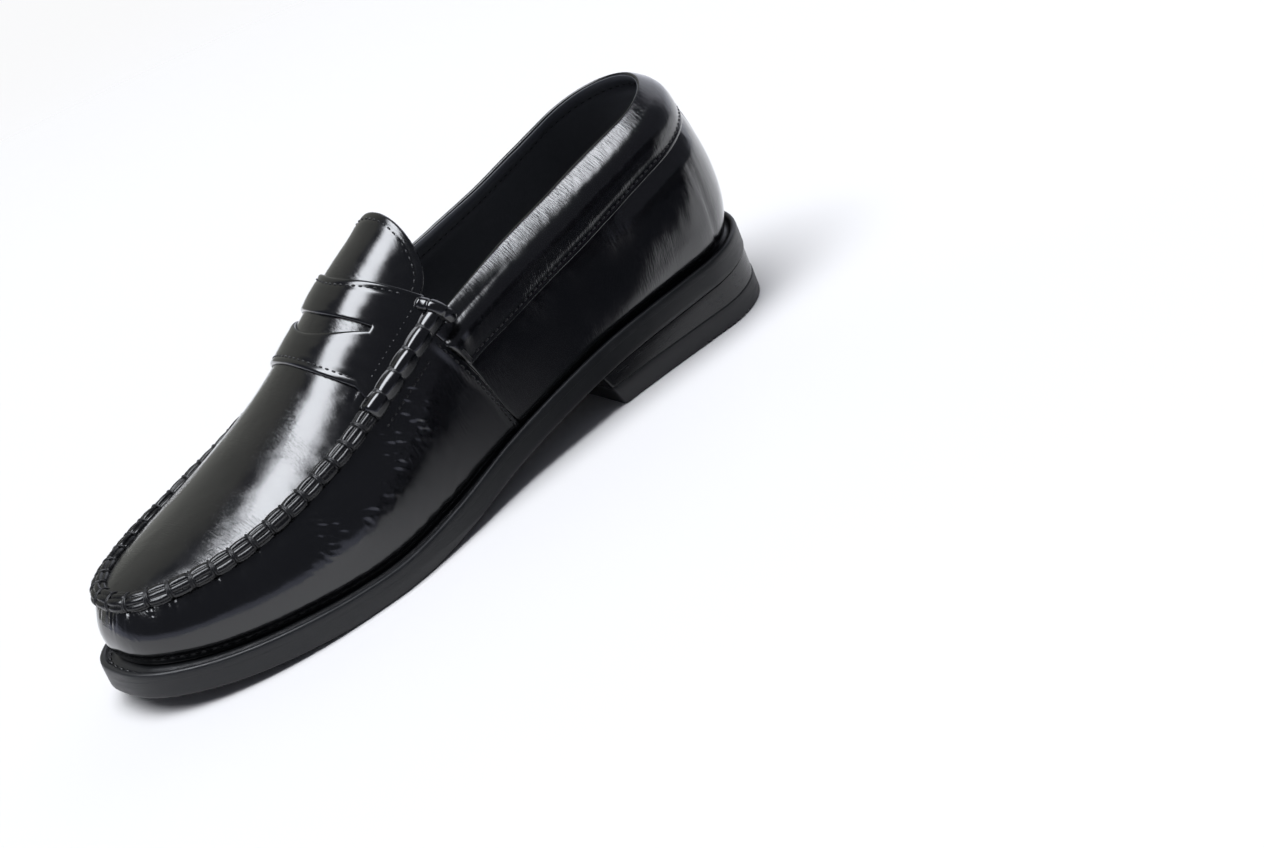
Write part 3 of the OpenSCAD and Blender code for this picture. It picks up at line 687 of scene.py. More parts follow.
def build_welt():
    q = even(sole_edge, 0, 2, 1.1)[:-1]
    profile = [(13, -3.2), (0.02, -3.2), (0.01, -3.1), (0.02, -2.0), (0.12, -1.0), (0.28, -0.5),
               (0.6, -0.18), (0.95, -0.03), (1.4, 0), (1.8, -0.04), (2.1, -0.2), (2.35, -0.6),
               (2.6, -1.2), (3.1, -1.6), (4.0, -1.7), (4.7, -1.5), (5.4, -1.0), (6.4, -0.4),
               (8, -0.2), (13, -0.2)]
    rows = []
    for inset, dz in profile:
        p = sole_edge(q, inset)
        p[:, 2] += dz
        if 2.4 < inset < 6:
            p[:, 2] += 0.05 * waves(p, 2.6, seed=3)
        rows.append(p)
    g = np.stack(rows, axis=1)
    add("welt_strip", place(g), grid_faces(len(q), len(profile), loop_n=True, loop_m=True),
        sole_rubber, ["welt"])
    path = sole_edge(even(sole_edge, sole_walk(96), 2 - sole_walk(96), 0.8), 3.5)
    path[:, 2] -= 1.55
    out = np.tile([0.0, 0.0, 1.0], (len(path), 1))
    add_threads("welt_threads", stitch_row(path, out, 4.1, 0.66, 0.5, lift=0.35), "welt_stitching")


def heel_loop(z, inset, n_back=240, n_front=40, corner=1.6):
    """Closed loop of the heel at one height: around the back, then across the breast."""
    breast = BREAST_T + BREAST_SLANT * min(z / 20, 1) - inset * 0.6
    w = float(walk(breast, inset, STD_LENGTH - inset))
    q = np.linspace(-w, w, n_back)
    p = sole_edge(q, inset)
    a, b = p[-1].copy(), p[0].copy()
    f = np.linspace(0, 1, n_front + 2)[1:-1, None]
    front = mix(a, b, f)
    front[:, 0] -= 1.2 * np.sin(np.pi * f[:, 0])
    loop = np.concatenate([p, front])
    near = np.minimum(np.linalg.norm(loop - a, axis=1), np.linalg.norm(loop - b, axis=1))
    pull = np.maximum(0, corner - near)[:, None] * 0.3
    middle = np.array([BREAST_T / 2, 0, 0])
    loop = loop + unit(middle - loop) * pull * [1, 1, 0]
    return loop


def build_heel():
    # Stacked part, from the top lift up to the outsole
    rows = []
    profile = [(3.0, 0), (0.16, 0), (0.04, 0.015), (0, 0.05), (0, 0.3), (0, 0.5), (0, 0.7), (0, 0.95),
               (0.04, 0.985), (0.16, 1), (3.0, 1)]
    for inset, f in profile:
        loop = heel_loop(mix(LIFT_H, 14, f), inset + STACK_IN)
        high = smooth(SOLE_TOP, loop[:, 0]) - WELT_T - OUTSOLE_T
        loop[:, 2] = mix(LIFT_H, high, f)
        rows.append(loop)
    g = np.stack(rows, axis=0)
    v, f = tube_parts(g)
    add("heel_stack_block", place(v), f, stack_leather, ["heel_stack"])
    # Rubber top lift with its row of fine ribs
    rows = []
    profile = [(3.0, 8), (0.16, 8), (0.04, 7.96), (0, 7.85), (0, 6), (0, 3), (0, 1.2), (0, 0.85),
               (0.02, 0.5), (0.1, 0.24), (0.26, 0.08), (0.5, 0), (2.5, 0), (6, 0)]
    for inset, z in profile:
        loop = heel_loop(z, inset + LIFT_IN, n_back=900)
        groove = ribs(loop[:, 0], *LIFT_RIBS) * LIFT_DEPTH
        loop[:, 2] = np.maximum(z, groove) if z < 0.9 else z
        rows.append(loop)
    for share in (0.35, 0.999):
        loop = heel_loop(0, 6.5, n_back=900)
        loop = mix(loop, points(np.clip(loop[:, 0], 30, 60), 0 * loop[:, 0], loop[:, 2]), share)
        loop[:, 2] = ribs(loop[:, 0], *LIFT_RIBS) * LIFT_DEPTH
        rows.append(loop)
    g = np.stack(rows, axis=0)
    v, f = tube_parts(g)
    add("heel_top_lift", place(v), f, lift_rubber, ["top_lift"])


build_outsole()
build_welt()
build_heel()

# ---- Sides of the upper ---------------------------------------------------------------

def collar_share(q):
    """The collar band is a little lower at the back of the heel."""
    return mix(0.88, 1, np.clip((top_station(q) - TOP_START) / 50, 0, 1))


def slim(q):
    """The padded roll is slimmer towards the front and at the back of the heel."""
    t = top_station(q)
    return np.minimum(mix(0.92, 0.55, np.clip((t - 105) / 30, 0, 1)),
                      mix(0.6, 0.92, np.clip((t - TOP_START) / 45, 0, 1)))


def swell(q):
    return mix(0.45, 1, np.clip((top_station(q) - TOP_START) / 45, 0, 1))


def free_top(q):
    """How far below the top rail the side leather ends."""
    t = top_station(q)
    seam = mix(ROLL_R, RIDGE_R, step(t, ROLL_END_T - 1, ROLL_END_T + 4)) - RIDGE_TUCK
    return np.where(t < THROAT_T, mix(COLLAR_H * collar_share(q) - 3.5, seam,
                                      step(t, COLLAR_END_T - 2, THROAT_T)), seam)


def v_top(q):
    return 1 - free_top(q) / wall_len(q)


def seam_walk(v, shift=0.0):
    return top_walk(SIDE_SEAM_T - SIDE_SEAM_SLANT * (1 - v) + shift)


def heel_seam(v, shift=0.0):
    return 2 - top_walk(HEEL_SEAM_T) + 0.05 * v**1.5 + shift


def puckers(q, d, depth=0.1, pinch=0.16):
    """Outward lift of the leather beside the raised seam, d mm away from it."""
    c = cells(q)
    live = step(c, -0.6, 0.2) * (1 - step(c, WRAPS - 0.2, WRAPS + 0.6))
    uneven = 0.8 + 0.25 * np.sin(c * 2.7 + 1) + 0.15 * np.sin(c * 7.1)
    near = wrap_near(q)
    wave = 0.5 - 0.5 * np.cos(2 * np.pi * (c - 0.5))
    fade = np.exp(-np.maximum(d - 2.5, 0) / 3.2)
    pleats = pinch * np.exp(-(near / 2.6) ** 2) * np.cos(2 * np.pi * near / 2.3 + 0.4 * np.sin(c * 5))
    hole = depth * np.exp(-(near / 0.7) ** 2) * np.exp(-((d - 4.6) / 1.1) ** 2)
    tuck = 2.2 * depth * np.exp(-((near - 0.9) / 0.55) ** 2) * np.exp(-((d - 4.4) / 1.5) ** 2)
    return live * ((0.4 * wave - pleats) * fade * uneven - hole + tuck * (uneven > 0.85))


def side_panel(name, a, b, stands, shape, lift=0.0, pitch=0.95):
    """Leather between the seam lines a(v) and b(v), from the welt to the top."""
    q_mid = even(top_rail, float(a(1.0)), float(b(1.0)), pitch)
    share = (q_mid - q_mid[0]) / (q_mid[-1] - q_mid[0])
    close = EDGE[1:-1] / 260.0
    share = np.unique(np.concatenate([share, close, 1 - close]))
    rows = np.concatenate([[-2, -1], 1 - (1 - np.linspace(0, 1, 56)) ** 1.35])
    vs = np.maximum(rows, 0)
    q = mix(a(vs)[None, :], b(vs)[None, :], share[:, None])
    v = vs[None, :] * v_top(q)
    base = wall(q, v)
    out = wall_out(q, v)
    step_a = np.linalg.norm(np.diff(base, axis=0), axis=-1)
    from_a = np.concatenate([np.zeros((1, base.shape[1])), np.cumsum(step_a, axis=0)])
    to_b = from_a[-1:] - from_a
    down = (1 - v) * wall_len(q)
    rise = 0.05 * waves(base, 26, seed=5) + 0.012 * waves(base, 9, seed=6)
    rise = rise * step(from_a, 0, 6) * step(to_b, 0, 6)
    rise = rise + puckers(q, down, 0.14, 0.2)
    rise = rise - fold(from_a, 0.8) - fold(to_b, 0.8)
    rise = rise + lift * (1 - step(from_a, 2.2, 5.5)) + shape(q, v, base)
    front = base + out * rise[..., None]
    back = base - out * (LEATHER_T - 0.1)
    for k, (inward, drop) in enumerate([(3.2, 1.0), (1.3, 0.75)]):
        lean = plan_out(q[:, k])
        front[:, k] = base[:, k] - lean * inward - [0, 0, drop]
        back[:, k] = base[:, k] - lean * (inward + 1.4) - [0, 0, drop - 0.6]
    verts, faces = closed_sheet(front, back)
    add(name, place(verts), faces, leather_vamp, stands)


def quarter_shape(q, v, base):
    """Creases of the quarter behind the collar and over the heel."""
    t, z = base[..., 0], base[..., 2]
    soft = step(t, 8, 30) * (1 - step(t, 92, 125))
    lines = 0.5 + 0.5 * waves(base, 9, (1, 0.3, -0.25), 0.28, seed=11)
    down = (1 - v) * wall_len(q) - COLLAR_H * collar_share(q)
    fullness = 1.3 * step(down, -1, 7) * (1 - step(down, 9, 30)) * (1 - step(np.abs(t - 40), 12, 34))
    pulls = 0.1 * np.exp(-((t - 27) / 7) ** 2) * np.sin(t * 2.1 + 0.8 * np.sin(z / 9)) * step(down, -2, 3)
    crease = 0.3 * np.exp(-((t - 24 - 0.06 * (z - 50)) / 1.5) ** 2) * step(down, 1, 8) * (side(q) > 0)
    return (0.07 * soft * (lines**2 - 0.4) * step(z, 32, 55) + fullness + pulls * (1 - step(down, 12, 26))
            - crease)


def vamp_shape(q, v, base):
    """Creases along the vamp, and the crinkles below the beef roll."""
    t = base[..., 0]
    outer = side(q) > 0
    soft = np.where(outer, step(t, 150, 165) * (1 - step(t, 205, 235)), 1 - step(t, 120, 175))
    lines = 0.5 + 0.5 * waves(base, 7.5, (1, 0.2, 0.7), 0.3, seed=12)
    down = (1 - v) * wall_len(q)
    patchy = step(waves(base, 16, seed=14), -1, 0.4)
    crinkled = step(t, 156, 168) * (1 - step(t, 212, 236)) * step(down, 3, 6) * (1 - step(down, 13, 24))
    crinkles = 0.24 * crinkled * patchy * waves(base, 3.4, (1, 0.1, -0.8), 0.45, seed=13)
    return 0.05 * soft * (lines**2 - 0.4) + np.where(outer, 1, 0.5) * crinkles


side_panel("vamp_leather", seam_walk, heel_seam, ["vamp"], vamp_shape, lift=0.3, pitch=0.6)
side_panel("quarter_leather", lambda v: 0 * v + 0.001, seam_walk, ["lateral_quarter"], quarter_shape)
side_panel("heel_panel_leather", heel_seam, lambda v: 0 * v + 1.999, ["heel_panel"], quarter_shape)


def seam_path(line, shift, v0, v1, depth):
    v = np.linspace(v0, v1, 160)
    q = line(v, shift)
    vv = v * v_top(line(np.array(1.0), 0.0))
    return wall_in(q, vv, depth), wall_out(q, vv)


def build_seam_trim():
    path, out = seam_path(heel_seam, 0.0, 0.0, 1.0, -0.55)
    v, f = tube_parts(cord_rings(path, 1.15, 12, 0.9, out))
    add("heel_seam_cord", place(v), f, leather_strap, ["heel_seam_piping"])
    path, out = seam_path(heel_seam, 0.012, 0.02, 0.97, 0.0)
    add_threads("heel_seam_threads", stitch_row(path, out, 3.0, 0.6, 0.36, lift=0.2), "heel_seam_stitching")
    path, out = seam_path(seam_walk, 2.2, 0.02, 0.98, -0.5)
    add_threads("side_seam_threads", stitch_row(path, out, 2.8, 0.6, 0.34, lift=0.2), "side_seam_stitching")


build_seam_trim()


def build_back_strip():
    """Raised strip up the back of the heel, under the collar's seam."""
    v = np.linspace(0, 1, 60)
    s = np.unique(np.concatenate([np.linspace(-1, 1, 61), 1 - EDGE[1:] / 12, EDGE[1:] / 12 - 1]))
    ss, vv = np.meshgrid(s, v, indexing="ij")
    half_w = mix(11.5, 8.5, vv)
    q, length = arc(lambda w: wall(w, 0.4), -0.2, 0.2, 900)
    centre = np.interp(0, q, length)
    qq = np.interp(centre + ss * half_w, length, q)
    v_at = vv * v_top(qq)
    edge = (1 - np.abs(ss)) * half_w
    rise = 1.0 - fold(edge, 0.8) + 0.12 * np.exp(-((edge - 0.9) / 0.6) ** 2) - 0.12 * step(edge, 1.5, 4)
    back = wall_in(qq, v_at, 0.1)
    front = wall_in(qq, v_at, -rise)
    verts, faces = closed_sheet(front, back)
    add("heel_back_strip", place(verts), faces, leather_vamp, ["back_strip"])


build_back_strip()

# ---- Collar -----------------------------------------------------------------------------

BAND = table([[0, -18.6, 1.2], [1, -19.6, 0.9], [2, -20.0, 0.3], [3, -19.7, -0.35], [4, -18.9, -0.62],
              [5, -18.0, -0.42], [6, -17.0, -0.75], [7, -15.4, -1.6], [9, -12.5, -2.5],
              [10.3, -9.8, -2.6], [11.2, -8.2, -2.0], [12.4, -6.2, -0.4], [13.5, -4.4, 1.5],
              [14.6, -2.8, 3.4], [15.4, -1.75, 4.9], [16, -1.4, 5.95], [17, -1.9, 6.95], [18, -3.5, 7.5],
              [20, -6, 6.0], [22, -8.1, 3.95],
              [22.5, -8.3, 3.6], [23, -8.0, 3.2], [24, -7.0, 2.9]])
SKIN = 0.9
FRONT_LOW, FRONT_HIGH = 141.0, 148.0


def collar_point(q, h, depth):
    depth = depth * np.where(depth > 0, slim(q), swell(q))
    return wall_in(q, 1 + h * collar_share(q) / wall_len(q), depth)


def band_line(k, d=0.0):
    """Height and depth along the padded roll's section, moved into it by d."""
    e = 0.02
    a = np.stack([smooth(BAND, k - e, 1), smooth(BAND, k - e, 2)], axis=-1)
    b = np.stack([smooth(BAND, k + e, 1), smooth(BAND, k + e, 2)], axis=-1)
    run = unit(b - a)
    return (smooth(BAND, k, 1) - run[..., 1] * d, smooth(BAND, k, 2) + run[..., 0] * d)


def collar_walk(s, h):
    """Walk at share s from -1 to 1 of the collar; its front edge slants."""
    front = top_walk(mix(FRONT_HIGH, FRONT_LOW, np.clip(-h / COLLAR_H, 0, 1)))
    return s * front


def sink(q, k, h, d):
    """Beside the beef roll only the lower part of the band goes on."""
    gone = step(top_station(q), 135.5, 140.5)
    upper = step(k, 10.2, 13.5)
    h = mix(h, np.minimum(h, -3.4 - 0.8 * upper), gone)
    return h, mix(d, np.where(k < 10.2, d * 0.75, mix(d * 0.75, 0.9, upper)), gone)


def build_collar():
    s = even(top_rail, -float(top_walk(FRONT_HIGH)), float(top_walk(FRONT_HIGH)), 0.75)
    s = s / np.abs(s).max()
    s = np.unique(np.concatenate([s, 1 - EDGE[1:-1] / 200, EDGE[1:-1] / 200 - 1]))
    k = np.concatenate([ramp(0, 8, 32), ramp(8.25, 14, 22), ramp(14.15, 18, 26), ramp(18.3, 24, 16)])
    ss, kk = np.meshgrid(s, k, indexing="ij")
    h, d = band_line(kk)
    qq = collar_walk(ss, h)
    h, d = sink(qq, kk, h, d)
    base = collar_point(qq, h, d)
    body = step(h, -17.5, -13) * (1 - step(h, -5, -1))
    ripple = 0.05 * waves(base, 22, seed=21) + 0.018 * waves(base, 4.5, (1, 0, 0.35), 0.3, seed=22)
    tip = (1 - np.abs(ss)) * 200
    outer = kk < 14.5
    d = d - np.where(outer, ripple * body, 0) + np.where(outer, fold(tip, 0.9), 0)
    front = collar_point(qq, h, d)
    h2, d2 = band_line(kk, mix(0.45, SKIN, step(kk, 3.5, 6)))
    h2, d2 = sink(qq, kk, h2, d2)
    back = collar_point(qq, h2, np.where(kk < 15, np.minimum(d2, 6), d2))
    v, f = closed_sheet(front, back)
    o = add("collar_band", place(v), f, leather_collar, ["collar"])
    parts = []
    w = float(top_walk(FRONT_LOW - 1.5))
    q = even(top_rail, -w, w, 0.7)
    h = np.full_like(q, -18.0)
    parts += stitch_row(collar_point(q, h, -0.42), wall_out(q, 1 + h * collar_share(q) / wall_len(q)),
                        2.7, 0.64, 0.32, lift=0.25)
    w = float(top_walk(131))
    q = even(top_rail, -w, w, 0.7)
    h, d = band_line(np.full_like(q, 20.6), -0.35)
    parts += stitch_row(collar_point(q, h, d), -wall_out(q, 1 + h / wall_len(q)), 3.0, 0.62, 0.34, lift=0.2)
    # Thick thread down the front edge
    for sign in (1, -1):
        k = np.linspace(4.2, 8.4, 30)
        h, d = band_line(k)
        q = collar_walk(np.full_like(k, sign * 0.9925), h)
        h, d = sink(q, k, h, d)
        path = collar_point(q, h, d)
        parts.append(tube_parts(cord_rings(path, 0.62, 10, 0.9, wall_out(q, 1 + h / wall_len(q)))))
    add_threads("collar_threads", parts, "collar_stitching")
    # Foam inside the band
    k = np.linspace(6.8, 21.5, 34)
    h, d = band_line(k, SKIN + 0.15)
    h, d = np.append(h, -16.0), np.append(d, 2.2)
    w = float(top_walk(COLLAR_END_T - 3))
    q = even(top_rail, -w, w, 2.5)
    qq, hh = np.meshgrid(q, h, indexing="ij")
    v, f = tube_parts(collar_point(qq, hh, np.broadcast_to(d, qq.shape)))
    o = add("collar_pad", place(v), f, foam_mat, ["collar_foam"])


build_collar()

# ---- Linings and sock --------------------------------------------------------------------


def lining_rise(base, seed):
    return 0.12 * waves(base, 20, seed=seed) + 0.04 * waves(base, 7, seed=seed + 1)


def vamp_lining():
    w = side_walk(THROAT_T + 1, 1)
    qq, ss = np.meshgrid(even(top_rail, w, 2 - w, 1.6), np.linspace(0, 1, 34), indexing="ij")
    vv = mix(0.01, 0.9, ss)
    inner = wall_in(qq, vv, LINING_IN - lining_rise(wall(qq, vv), 31))
    outer = wall_in(qq, vv, LINING_OUT)
    v, f = closed_sheet(outer, inner)
    add("vamp_lining_skin", place(v), f, lining_mat, ["vamp_lining"])


def quarter_lining():
    """Lining of the back part: up the side, then over the inner face of the padded roll."""
    w = float(top_walk(THROAT_T - 1))
    q = even(top_rail, -w, w, 1.2)
    k = np.linspace(21.6, 17.0, 22)
    qq, ss = np.meshgrid(q, np.linspace(0, 1, 30), indexing="ij")
    vv = mix(0.01, 1 - 10.5 * collar_share(qq) / wall_len(qq), ss)
    rise = lining_rise(wall(qq, vv), 33) * (1 - ss)
    low = [wall_in(qq, vv, LINING_IN - rise), wall_in(qq, vv, LINING_OUT)]
    qq, kk = np.meshgrid(q, k, indexing="ij")
    high = [collar_point(qq, *band_line(kk, -d)) for d in (0.45, 0.1)]
    inner, outer = (np.concatenate([a, b], axis=1) for a, b in zip(low, high))
    v, f = closed_sheet(outer, inner)
    add("quarter_lining_skin", place(v), f, lining_mat, ["quarter_lining"])


vamp_lining()
quarter_lining()


def build_sock():
    inset = 4.6
    q = even(sole_edge, 0, 2, 2.0)[:-1]
    edge = feather(q, inset)
    rows, low = [], []
    for share in (0, 0.01, 0.03, 0.06, 0.12, 0.22, 0.4, 0.6, 0.8, 1):
        p = toward_middle(edge, share)
        dish = 1.3 * (1 - share) ** 3
        p[:, 2] = smooth(SOLE_TOP, p[:, 0]) + 3.65 + dish - fold(share * 30, 0.5)
        rows.append(p)
        under = p.copy()
        under[:, 2] = smooth(SOLE_TOP, p[:, 0]) + 2.45
        low.append(under)
    g = np.stack(rows + low[::-1], axis=1)
    add("sock_liner_skin", place(g), grid_faces(len(q), g.shape[1], loop_n=True), lining_mat,
        ["sock_liner"], 2e-5)


build_sock()

# ---- Apron, tongue and strap ----------------------------------------------------------------


def apron_margin(t):
    free = top_margin(np.full_like(t, THROAT_T))
    return mix(free, seam_reach(t) - RIDGE_TUCK, step(t, 147, 156))


def apron_half(t, s, more=0.0):
    t = np.asarray(t, float)
    r = np.clip((TONGUE_T + TONGUE_LEN - t + more) / TONGUE_LEN, 0, 1)
    flat = inner_half(np.full_like(t, TONGUE_T + TONGUE_LEN), s, top_margin(np.array(THROAT_T)))
    tongue = flat * (1 - r**TONGUE_POWER) ** (1 / TONGUE_POWER) - more * 0.5
    body = inner_half(t, s, apron_margin(t) + more)
    return np.where(t < TONGUE_T + TONGUE_LEN, tongue, body)


def apron_rim(more=0.0, pitch=0.75):
    """Edge of the apron and tongue, once around, evenly stepped: t and x."""
    end = TOP_END - RIDGE_R + RIDGE_TUCK - more
    t = TONGUE_T + more + (end - TONGUE_T - more) * (1 - np.cos(np.linspace(0, np.pi, 3000))) / 2
    outer = points(t, smooth(DRIFT, t) + apron_half(t, 1.0, more))
    inner = points(t, smooth(DRIFT, t) - apron_half(t, -1.0, more))
    p = np.concatenate([outer, inner[::-1][1:-1]])
    p = np.concatenate([p, p[:1]])
    s = np.concatenate([[0], np.cumsum(np.linalg.norm(np.diff(p, axis=0), axis=-1))])
    at = np.linspace(0, s[-1], int(s[-1] / pitch) + 1)[:-1]
    return np.stack([np.interp(at, s, p[:, 0]), np.interp(at, s, p[:, 1])], axis=-1)


def rail_walk(t, x):
    """Walk of the rail beside a point of the apron."""
    q = top_walk(np.clip(t, TOP_START, TOP_END))
    return np.where(x > smooth(DRIFT, t), q, 2 - q)


def apron_shell(name, mat, stands, more, d_out, d_in, rows, detail):
    """Sheet over the crown between the depths d_out and d_in; rows are its first steps in from the rim."""
    rim = apron_rim(more)
    centre_t = np.clip(rim[:, 0], 158, 250)
    centre = np.stack([centre_t, smooth(DRIFT, centre_t)], axis=-1)
    span = np.linalg.norm(rim - centre, axis=1)
    shares = [np.minimum(d / span, 0.5) for d in rows]
    shares += [mix(shares[-1], 0.9995, f) for f in np.linspace(0, 1, 22)[1:]]
    flat = np.stack([mix(rim, centre, share[:, None]) for share in shares], axis=1)
    t, x = flat[..., 0], flat[..., 1]
    away = np.linalg.norm(flat - rim[:, None, :], axis=-1)
    rise = np.zeros_like(t)
    if detail:
        seam = step(t, 178, 186)
        q = rail_walk(t, x)
        base = points(t, x, crown_z(t, x))
        rise = 0.03 * waves(base, 26, seed=41) + 0.008 * waves(base, 9, seed=42)
        rise = rise * step(away, 0.5, 6)
        rise += seam * 0.55 * puckers(q, away + 2.2, 0.0)
        rise -= (1 - seam) * fold(away, 1.1)
        rise -= (1 - seam) * 0.22 * np.exp(-((away - 3.0) / 0.7) ** 2)
    front = crown(t, x, d_out + rise)
    back = crown(t, x, np.full_like(t, d_in))
    n, m = front.shape[:2]
    faces = grid_faces(n, m, loop_n=True) + [f[::-1] for f in grid_faces(n, m, n * m, loop_n=True)]
    faces += [[i * m, (i + 1) % n * m, (i + 1) % n * m + n * m, i * m + n * m] for i in range(n)]
    verts = np.concatenate([front.reshape(-1, 3), back.reshape(-1, 3)])
    add(name, place(verts), faces, mat, stands, 2e-5)


apron_shell("apron_leather_sheet", leather_apron, ["apron"], 0.0, 0.0, -LEATHER_T,
            [0, 0.08, 0.2, 0.4, 0.7, 1.1, 1.5, 1.9, 2.3, 2.7, 3.1, 3.6, 4.2, 4.9, 5.7, 6.6, 7.6, 8.8], True)
apron_shell("apron_lining_sheet", lining_mat, ["apron_lining"], 1.2, -LEATHER_T - 0.1,
            -LEATHER_T - 1.1, [0, 0.5, 1.5, 3, 6], False)

STRAP_BACK_MID, STRAP_BACK_END = 156.0, 141.0
STRAP_FRONT_MID, STRAP_FRONT_END = 185.0, 178.5
STRAP_REACH, STRAP_T = 27.0, 1.5
SLOT_MID, SLOT_BOW, SLOT_HALF, SLOT_W = 171.0, 10.5, 24.0, 6.4
SLOT_TIP, SLOT_REACH = 0.25, SLOT_HALF - 2
STRAP_LIFT = 0.12
# Steps along the long and the short sides of the strap
STRAP_LONG, STRAP_SHORT = 260, 46


def strap_x(t, s):
    return s * inner_half(t, s, ROLL_R - 1.9)


def strap_back(x):
    return mix(STRAP_BACK_MID, STRAP_BACK_END, np.minimum(np.abs(x) / STRAP_REACH, 1) ** 2)


def strap_front(x):
    return mix(STRAP_FRONT_MID, STRAP_FRONT_END, np.minimum(np.abs(x) / STRAP_REACH, 1) ** 2.5)


def slot_line(x):
    return SLOT_MID - SLOT_BOW * (x / SLOT_HALF) ** 2


def slot_open(x):
    return SLOT_TIP + (SLOT_W / 2 - SLOT_TIP) * (1 - (np.abs(x) / SLOT_HALF) ** 2)


def strap_edges():
    """Matching points of the strap's outer rim and of its slot, once around: t and x."""
    rim, slot = [], []

    def put(t, x, xs, way):
        rim.append([t, x])
        slot.append([slot_line(xs) + way * slot_open(xs), xs])

    def long_side(first, last, line, end, way):
        for s in np.sin(np.radians(np.linspace(first, last, STRAP_LONG, endpoint=False))):
            x = abs(s) * abs(strap_x(np.array(end), np.sign(s) or 1.0))
            put(line(x), np.sign(s) * x, s * SLOT_REACH, way)

    def short_side(t0, t1, sign):
        for f in np.linspace(0, 1, STRAP_SHORT, endpoint=False):
            t = mix(t0, t1, f)
            put(t, strap_x(np.array(t), sign), sign * SLOT_REACH, mix(-sign, sign, f))

    long_side(-90, 90, strap_back, STRAP_BACK_END, -1)
    short_side(STRAP_BACK_END, STRAP_FRONT_END, 1.0)
    long_side(90, -90, strap_front, STRAP_FRONT_END, 1)
    short_side(STRAP_FRONT_END, STRAP_BACK_END, -1.0)
    return np.array(rim, float), np.array(slot, float)


def nearest(grid, line, closed=True):
    """Distance from each point of a grid to a line of points."""
    a, b = line, np.roll(line, -1, axis=0)
    if not closed:
        a, b = a[:-1], b[:-1]
    run = b - a
    size = np.maximum((run * run).sum(axis=1), 1e-12)
    out = np.empty(grid.shape[:2])
    for j in range(grid.shape[1]):
        d = grid[:, j, None, :] - a[None]
        s = np.clip((d * run).sum(axis=-1) / size, 0, 1)
        out[:, j] = np.linalg.norm(d - s[..., None] * run, axis=-1).min(axis=1)
    return out


def build_strap():
    rim, slot = strap_edges()
    share = np.concatenate([np.array([0, 0.08, 0.2, 0.4, 0.7, 1.1, 1.6, 2.1, 2.6, 3.1]) / 14.0,
                            np.linspace(0.28, 0.86, 12), 1 - np.array([1.1, 0.7, 0.4, 0.2, 0.08, 0]) / 14.0])
    flat = mix(rim[:, None, :], slot[:, None, :], share[None, :, None])
    t, x = flat[..., 0], flat[..., 1]
    back_rim = rim[:STRAP_LONG + 1]
    front_rim = rim[STRAP_LONG + STRAP_SHORT:2 * STRAP_LONG + STRAP_SHORT + 1]
    out_d = np.minimum(nearest(flat, back_rim, False), nearest(flat, front_rim, False))
    in_d = nearest(flat, slot)
    base = points(t, x, crown_z(t, x))
    puff = 0.2 * step(out_d, 3.2, 8) * step(in_d, 0.5, 5)
    d = STRAP_LIFT + STRAP_T + puff - fold(out_d, 1.15) - fold(in_d, 1.0)
    d = d - 0.28 * np.exp(-((out_d - 2.3) / 0.6) ** 2) + 0.03 * waves(base, 18, seed=51) * step(out_d, 2, 5)
    front = crown(t, x, d)
    back = crown(t, x, np.full_like(d, STRAP_LIFT))
    g = np.concatenate([front, back[:, ::-1]], axis=1)
    add("strap_leather_band", place(g), grid_faces(g.shape[0], g.shape[1], loop_n=True, loop_m=True),
        leather_strap, ["saddle_strap"])
    parts = []
    inset = 2.3
    for line, sign, reach in ((strap_back, 1, 25.5), (strap_front, -1, 26.0)):
        x = np.linspace(-reach, reach, 200)
        t = line(x) + sign * inset
        d = STRAP_LIFT + STRAP_T - 0.2
        parts += stitch_row(crown(t, x, d), crown_normal(t, x), 2.7, 0.62, 0.36, lift=0.2)
    add_threads("strap_threads", parts, "strap_stitching")
    # Tongue stitches
    rim = apron_rim(3.0, 0.5)
    keep = rim[:, 0] < 152
    roll = int(np.argmax(~keep))
    rim, keep = np.roll(rim, -roll, axis=0), np.roll(keep, -roll)
    rim = rim[keep]
    path = crown(rim[:, 0], rim[:, 1], -0.1)
    stitches = stitch_row(path, crown_normal(rim[:, 0], rim[:, 1]), 2.8, 0.62, 0.34, lift=0.2)
    add_threads("tongue_threads", stitches, "tongue_stitching")


build_strap()

# ---- Raised seam, its wraps and the beef rolls ---------------------------------------------

STRANDS = 4
# The three threads of a wrap: shift and skew along the seam, radius and lift, in mm
WRAP_STRANDS = ((-0.35, 0.6, 0.36, 0.0), (0.35, -0.55, 0.36, 0.0), (0.0, 0.1, 0.34, 0.2))


def build_ridge():
    q = even(top_rail, RIDGE_FROM - 0.004, RIDGE_TO + 0.004, 0.5)
    a = np.linspace(0, 360, 96, endpoint=False)
    qq, aa = np.meshgrid(q, a, indexing="ij")
    c = cells(qq)
    near = wrap_near(qq)
    cell = np.floor(c + 0.5)
    lens = 0.5 - 0.5 * np.cos(2 * np.pi * (c - 0.5))
    turn = 7 * np.sin(cell * 2.4 + 0.6) + 5 * np.sin(cell * 5.3)
    k = (aa + 12 + turn) / 204 * STRANDS
    strand = np.abs(np.sin(np.pi * k)) ** 0.62
    side_vary = 1 + 0.04 * np.sin(np.floor(k) * 3.1 + cell * 1.7)
    r = RIDGE_R * (0.76 + 0.27 * strand * (0.72 + 0.28 * lens)) * side_vary
    r = r * (1 - 0.13 * np.exp(-(near / 0.7) ** 2))
    p = ridge_point(qq, aa, r)
    v, f = tube_parts(p)
    add("seam_strands", place(v), f, strand_mat, ["moc_seam"])


